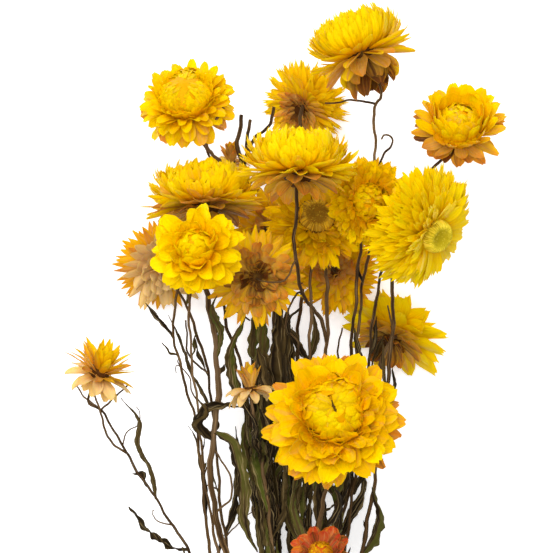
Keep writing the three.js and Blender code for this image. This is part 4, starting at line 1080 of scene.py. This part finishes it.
def makeStem(name, stem, share, materials):
    rand = random.Random("stem " + name)
    heap = Heap()
    runs = {name: stemRoute(name, stem, share)}
    for branchName, branch in stems.items():
        if branch.get("on") in runs:
            start = grownFrom(runs[branch["on"]], branch["through"])
            runs[branchName] = route([*start, *neckPoints(branchName)[0]])
    for grown, samples in runs.items():
        into = samples[-1] + neckPoints(grown)[1] * heads[grown]["across"] * stemRun["into"]
        girth = stems[grown]["girth"]
        slim = [1, stems[grown].get("slim", slimming["share"])]
        addTube(heap, rand, np.vstack([samples, into]),
                lambda p, s: girthAt(p[1]) * girth * np.interp(p[1], slimming["between"], slim), stemSkin)
    for grown, samples in runs.items():
        for width, twist, tone, *path in stems[grown].get("leaves", []):
            addLeaf(heap, rand, grownFrom(samples, path), width, twist, tone)
    for grown, samples in runs.items():
        for girth, *path in stems[grown].get("twigs", []):
            path = route(grownFrom(samples, path), 60)
            addTube(heap, rand, path, lambda p, s: girth * (1 - twigSkin["taper"] * s), twigSkin)
    addSmallLeaves(heap, rand, runs[name], thickLeaves if name in leafy else smallLeaves)
    addTendrils(heap, rand, runs[name])
    heap.make("stem_with_leaves_" + name, "stem_" + name, materials)


# the twine: two plies laid round each other, in wraps round the stems, a knot and two tails
lays = {"wrap": {"turns": 14, "radius": 0.56, "apart": 0.5},
        "knot": {"turns": 6, "radius": 0.5, "apart": 0.42},
        "tail": {"turns": 2.5, "radius": 0.5, "apart": 0.42}}
twineSkin = {"sides": 7, "grain": 40, "wrapSteps": 150, "knotSteps": 60, "tailSteps": 24, "gap": 0.05,
             "wave": 0.25}
knotPlace = {"up": 0.9, "size": (0.85, 0.85, 0.7)}


def sidesOf(line, loop):
    ways = np.roll(line, -1, axis=0) - np.roll(line, 1, axis=0) if loop else np.gradient(line, axis=0)
    ways = ways / np.linalg.norm(ways, axis=1, keepdims=True)
    side = carried(ways, (0.02, 1, 0.03))
    return side, np.cross(ways, side)


def addTwisted(heap, rand, line, loop, lay):
    side, other = sidesOf(line, loop)
    phase = np.linspace(0, circle * lay["turns"], len(line), endpoint=not loop)[:, None]
    sides = twineSkin["sides"]
    for start in (0, math.pi):
        ply = line + (side * np.cos(phase + start) + other * np.sin(phase + start)) * lay["apart"]
        points = ringsRound(ply, *sidesOf(ply, loop), lay["radius"], around(sides))
        along = np.repeat(np.arange(len(ply)) / twineSkin["grain"], sides)
        across = np.tile(np.linspace(-1, 1, sides, endpoint=False), len(ply))
        heap.add(points, tubeFaces(len(ply), sides, loop), along, across, rand.random(), 0)


def makeTwine(material):
    rand = random.Random("twine")
    heap = Heap()
    radius = tie["inner"] + tie["twine"] / 2 + twineSkin["gap"]
    turn = around(twineSkin["wrapSteps"])
    for wrap in range(tie["wraps"]):
        middle = tie["y"] + (wrap - (tie["wraps"] - 1) / 2) * tie["twine"]
        y = middle + twineSkin["wave"] * np.sin(turn + wrap)
        line = np.stack([np.cos(turn) * radius, y, tie["z"] + np.sin(turn) * radius], axis=1)
        addTwisted(heap, rand, line, True, lays["wrap"])
    top = np.array([0, tie["y"], tie["z"] + tie["inner"] + tie["twine"] + knotPlace["up"]])
    turn = around(twineSkin["knotSteps"])
    knot = [np.sin(turn) + 2 * np.sin(2 * turn), np.cos(turn) - 2 * np.cos(2 * turn), -np.sin(3 * turn)]
    addTwisted(heap, rand, top + np.stack(knot, axis=1) * knotPlace["size"], True, lays["knot"])
    for end in (1, -1):
        tail = np.array([(1.5, 0, 0), (4, 1.5, 0.6), (7, 1, -1.2), (9.5, 3, -4.5)]) * (end, end, 1)
        addTwisted(heap, rand, route(top + tail, twineSkin["tailSteps"]), False, lays["tail"])
    heap.make("twine_wraps", "twine", [material], sharp=80)


class Nodes:
    # the nodes of one material or group, and the sums that its colours need
    def __init__(self, tree):
        self.tree = tree

    def put(self, value, socket):
        if isinstance(value, bpy.types.NodeSocket):
            self.tree.links.new(value, socket)
        else:
            socket.default_value = value

    def add(self, kind, values, **settings):
        node = self.tree.nodes.new(kind)
        for key, value in settings.items():
            setattr(node, key, value)
        for key, value in values.items():
            self.put(value, node.inputs[key])
        return node

    def math(self, operation, *values):
        return self.add("ShaderNodeMath", dict(enumerate(values)), operation=operation).outputs[0]

    def plus(self, one, two):
        return self.math("ADD", one, two)

    def times(self, one, two):
        return self.math("MULTIPLY", one, two)

    def offMiddle(self, value, share):
        return self.times(self.math("SUBTRACT", value, 0.5), share)

    def ramp(self, value, low, high):
        # 0 at low and 1 at high, with soft ends
        return self.add("ShaderNodeMapRange", {"Value": value, "From Min": low, "From Max": high},
                        interpolation_type="SMOOTHSTEP").outputs[0]

    def blend(self, factor, one, two):
        return self.add("ShaderNodeMix", {0: factor, 6: one, 7: two}, data_type="RGBA").outputs[2]

    def noise(self, x, y, z, **settings):
        # each of x, y and z is a value and how far it is stretched
        place = self.add("ShaderNodeCombineXYZ",
                         {"X": self.times(*x), "Y": self.times(*y), "Z": self.times(*z)})
        return self.add("ShaderNodeTexNoise", {"Vector": place.outputs[0], **settings}).outputs[0]


def newGroup(name, numbers, colours, outputs):
    tree = bpy.data.node_groups.new(name, "ShaderNodeTree")
    for labels, way in (((*numbers, *colours), "INPUT"), (outputs, "OUTPUT")):
        for label in labels:
            kind = "NodeSocketColor" if label in (*colours, "Color") else "NodeSocketFloat"
            tree.interface.new_socket(label, in_out=way, socket_type=kind)
    given, out = tree.nodes.new("NodeGroupInput").outputs, tree.nodes.new("NodeGroupOutput").inputs
    return tree, Nodes(tree), given, out


def grainGroup():
    # fine lines that run the length of a bract, a leaf or a stem
    tree, nodes, given, out = newGroup(
        "lengthwise grain", ("Along", "Across", "Tone", "Lines", "Drift"), (), ("Value", "Broad"))
    place = ((given["Across"], given["Lines"]), (given["Along"], given["Drift"]), (given["Tone"], 40))
    nodes.put(nodes.noise(*place, Scale=1.0, Detail=2, Roughness=0.6), out["Value"])
    nodes.put(nodes.noise(*place, Scale=0.28, Detail=1), out["Broad"])
    return tree


def grainOf(nodes, given, lines, drift):
    values = {label: given[label] for label in ("Along", "Across", "Tone")}
    node = nodes.add("ShaderNodeGroup", {**values, "Lines": lines, "Drift": drift}, node_tree=grain)
    return node.outputs["Value"], node.outputs["Broad"]


# colours that any bract may turn to, whatever its bloom
bractTurns = {"lemon": (0.9, 0.62, 0.002, 1), "straw": (0.82, 0.48, 0.15, 1),
              "husk": (0.075, 0.027, 0.007, 1), "cream": (0.74, 0.47, 0.2, 1)}


def bractGroup():
    # the colour of one papery bract, from its fresh inner rows to its tan outer ones
    tree, nodes, given, out = newGroup(
        "papery bract", ("Along", "Across", "Tone", "Age"), ("Fresh", "Deep", "Tan", "Blush"),
        ("Color", "Roughness", "Height"))
    fine, broad = grainOf(nodes, given, 9, 1.3)
    tone, age = given["Tone"], given["Age"]
    # the root is deeper in colour, partly the bract's own deeper orange and partly painted shade where it
    # lies under the bracts outside it, and single bracts run a little warmer or paler
    reach = nodes.plus(given["Along"], nodes.offMiddle(fine, 0.5))
    fresh = nodes.blend(nodes.ramp(reach, 0.0, 0.8), given["Deep"], given["Fresh"])
    fresh = nodes.blend(nodes.times(nodes.ramp(tone, 0.55, 1.3), 0.5), fresh, given["Deep"])
    fresh = nodes.blend(nodes.times(nodes.ramp(tone, 0.3, -0.3), 0.6), fresh, bractTurns["lemon"])
    aged = nodes.blend(nodes.ramp(reach, 0.5, 1.0), given["Tan"], given["Blush"])
    aged = nodes.blend(nodes.times(nodes.ramp(broad, 0.45, 0.7), 0.35), aged, bractTurns["straw"])
    turn = nodes.plus(nodes.plus(age, nodes.offMiddle(broad, 0.9)), nodes.offMiddle(tone, 0.5))
    colour = nodes.blend(nodes.ramp(turn, 0.35, 0.95), fresh, aged)
    # dry brown husk on the oldest ones, cream skirts, and a thin darker edge
    husk = nodes.ramp(nodes.plus(turn, nodes.times(fine, 0.2)), 1.05, 1.5)
    colour = nodes.blend(husk, colour, bractTurns["husk"])
    cream = nodes.blend(nodes.ramp(reach, 0.1, 0.7), given["Tan"], bractTurns["cream"])
    colour = nodes.blend(nodes.ramp(age, 1.85, 1.95), colour, cream)
    rim = nodes.ramp(nodes.math("ABSOLUTE", given["Across"]), 0.8, 1.0)
    colour = nodes.blend(nodes.times(rim, 0.25), colour, given["Deep"])
    shade = nodes.math("MULTIPLY_ADD", fine, 0.4, 0.79)
    shaded = nodes.add("ShaderNodeHueSaturation", {"Color": colour, "Value": shade})
    nodes.put(shaded.outputs[0], out["Color"])
    nodes.put(nodes.math("MULTIPLY_ADD", fine, 0.3, 0.3), out["Roughness"])
    crinkle = nodes.noise((given["Across"], 1.6), (given["Along"], 6), (tone, 50), Scale=1.0, Detail=2)
    nodes.put(nodes.plus(nodes.plus(fine, broad), nodes.times(crinkle, 2.5)), out["Height"])
    return tree


def dryGroup():
    # bark and leaf share one dry surface: streaks along it, and patches of moss on some
    tree, nodes, given, out = newGroup(
        "dry growth", ("Along", "Across", "Tone"), ("Dark", "Middle", "Light", "Moss"),
        ("Color", "Roughness", "Height"))
    fine, broad = grainOf(nodes, given, 5, 4)
    tone = given["Tone"]
    moss = nodes.times(nodes.ramp(tone, 0.55, 0.9), nodes.ramp(broad, 0.42, 0.58))
    middle = nodes.blend(moss, given["Middle"], given["Moss"])
    mixed = nodes.plus(broad, nodes.offMiddle(tone, 0.35))
    colour = nodes.blend(nodes.ramp(mixed, 0.36, 0.62), given["Dark"], middle)
    nodes.put(nodes.blend(nodes.ramp(fine, 0.52, 0.75), colour, given["Light"]), out["Color"])
    nodes.put(nodes.math("MULTIPLY_ADD", fine, 0.3, 0.5), out["Roughness"])
    nodes.put(fine, out["Height"])
    return tree


def newMaterial(name, settings):
    material = bpy.data.materials.new(name)
    material.use_nodes = True
    shader = material.node_tree.nodes["Principled BSDF"]
    for label, value in settings.items():
        shader.inputs[label].default_value = value
    return material, Nodes(material.node_tree), shader


def growthMaterial(name, group, colours, bumps, depth, settings):
    # what each point carries goes through the group into a plain shader
    material, nodes, shader = newMaterial(name, settings)
    colours = {label: (*colour, 1) for label, colour in colours.items()}
    body = nodes.add("ShaderNodeGroup", colours, node_tree=group)
    for mark in markNames:
        if mark.capitalize() in body.inputs:
            read = nodes.add("ShaderNodeAttribute", {}, attribute_name=mark)
            nodes.put(read.outputs["Fac"], body.inputs[mark.capitalize()])
    bump = nodes.add("ShaderNodeBump",
                     {"Height": body.outputs["Height"], "Strength": bumps, "Distance": depth})
    nodes.put(body.outputs["Color"], shader.inputs["Base Color"])
    nodes.put(body.outputs["Roughness"], shader.inputs["Roughness"])
    nodes.put(bump.outputs[0], shader.inputs["Normal"])
    return material


# Deep is each look's deeper orange, which the bract group also lays on every bract's root as painted shade
bloomLook = {
    "yellow": {"Fresh": (0.89, 0.55, 0), "Deep": (0.76, 0.33, 0), "Tan": (0.6, 0.3, 0.035),
               "Blush": (0.52, 0.17, 0.015)},
    "orange": {"Fresh": (0.84, 0.47, 0.002), "Deep": (0.66, 0.23, 0.002), "Tan": (0.6, 0.29, 0.06),
               "Blush": (0.52, 0.16, 0.015)},
    "rust": {"Fresh": (0.76, 0.36, 0.004), "Deep": (0.58, 0.1, 0.01), "Tan": (0.5, 0.085, 0.03),
             "Blush": (0.42, 0.022, 0.012)},
}
paper = {"Subsurface Weight": 0.4, "Subsurface Radius": (1.0, 0.6, 0.1), "Subsurface Scale": 0.0012,
         "Specular IOR Level": 0.15, "Specular Tint": (1.0, 0.72, 0.12, 1)}
dryLook = {
    "bark": {"Dark": (0.034, 0.018, 0.008), "Middle": (0.1, 0.054, 0.02), "Light": (0.33, 0.205, 0.09),
             "Moss": (0.16, 0.1, 0.05)},
    "leaf": {"Dark": (0.016, 0.01, 0.005), "Middle": (0.082, 0.053, 0.017), "Light": (0.3, 0.22, 0.1),
             "Moss": (0.075, 0.085, 0.012)},
    "fibre": {"Dark": (0.16, 0.1, 0.045), "Middle": (0.38, 0.27, 0.14), "Light": (0.62, 0.49, 0.3),
              "Moss": (0.38, 0.27, 0.14)},
    "floret": {"Dark": (0.5, 0.38, 0.01), "Middle": (0.76, 0.6, 0.03), "Light": (0.86, 0.72, 0.1),
               "Moss": (0.8, 0.59, 0.05)},
    "brown floret": {"Dark": (0.3, 0.15, 0.01), "Middle": (0.66, 0.4, 0.015), "Light": (0.8, 0.55, 0.05),
                     "Moss": (0.42, 0.26, 0.03)},
}
dryBumps = {"bark": 0.0003, "leaf": 0.0006, "fibre": 0.0002, "floret": 0.0001, "brown floret": 0.0001}
discLook = {"h": "floret", "i": "brown floret"}

grain = grainGroup()
bractShade, dryShade = bractGroup(), dryGroup()
blooms = {tone: growthMaterial("papery " + tone, bractShade, look, 0.5, 0.0003, paper)
          for tone, look in bloomLook.items()}
dry = {name: growthMaterial("dry " + name, dryShade, look, 0.7, dryBumps[name], {"Specular IOR Level": 0.03})
       for name, look in dryLook.items()}
print("materials made")
for name, head in heads.items():
    makeHead(name, head, blooms[slots["head_" + name].replace("bloom_", "")])
    if name in discLook:
        makeDisc(name, head, dry[discLook[name]])
print("blooms made:", len(heads))
for name, share in cutShares().items():
    makeStem(name, stems[name], share, [dry["bark"], dry["leaf"]])
print("stems made:", len(cutShares()))
makeTwine(dry["fibre"])
print("twine made")

# the camera looks straight down; the picture is this wide at the height where the blooms are
view = {"x": -4.19, "y": 95.37, "wide": 221.2, "high": 3200, "blooms": 60}
lamps = {
    "key": {"at": (-0.5, 1.4, 1.6), "size": 1.2, "power": 27},
    "top": {"at": (-0.1, 0.2, 2.4), "size": 1.1, "power": 43},
}
lit = {"aim": (0, 0.06, 0.05), "room": 0.36}
floorLook = {"Base Color": (0.92, 0.92, 0.92, 1), "Roughness": 0.9, "Emission Color": (1, 1, 1, 1),
             "Emission Strength": 0.45}


def makeCamera():
    data = bpy.data.cameras.new("camera")
    data.sensor_width = 36
    data.lens = data.sensor_width * (view["high"] - view["blooms"]) / view["wide"]
    data.clip_start = 0.1
    data.clip_end = 20
    camera = bpy.data.objects.new("camera", data)
    camera.location = (view["x"] * mm, view["y"] * mm, view["high"] * mm)
    bpy.context.collection.objects.link(camera)
    bpy.context.scene.camera = camera


def makeLight():
    for name, lamp in lamps.items():
        data = bpy.data.lights.new(name, "AREA")
        data.size = lamp["size"]
        data.energy = lamp["power"]
        light = bpy.data.objects.new(name, data)
        light.location = lamp["at"]
        light.rotation_euler = (Vector(lit["aim"]) - Vector(lamp["at"])).to_track_quat("-Z", "Y").to_euler()
        light.visible_camera = False
        bpy.context.collection.objects.link(light)
    world = bpy.data.worlds.new("soft room")
    world.use_nodes = True
    world.node_tree.nodes["Background"].inputs["Color"].default_value = (1, 1, 1, 1)
    world.node_tree.nodes["Background"].inputs["Strength"].default_value = lit["room"]
    bpy.context.scene.world = world
    bpy.context.scene.view_settings.view_transform = "Standard"


def makeFloor():
    bpy.ops.mesh.primitive_plane_add(size=8, location=(0, 0, 0))
    floor = bpy.context.object
    floor.name = "floor"
    floor.data.materials.append(newMaterial("pale floor", floorLook)[0])


makeCamera()
makeLight()
makeFloor()
print("camera, light and floor made")
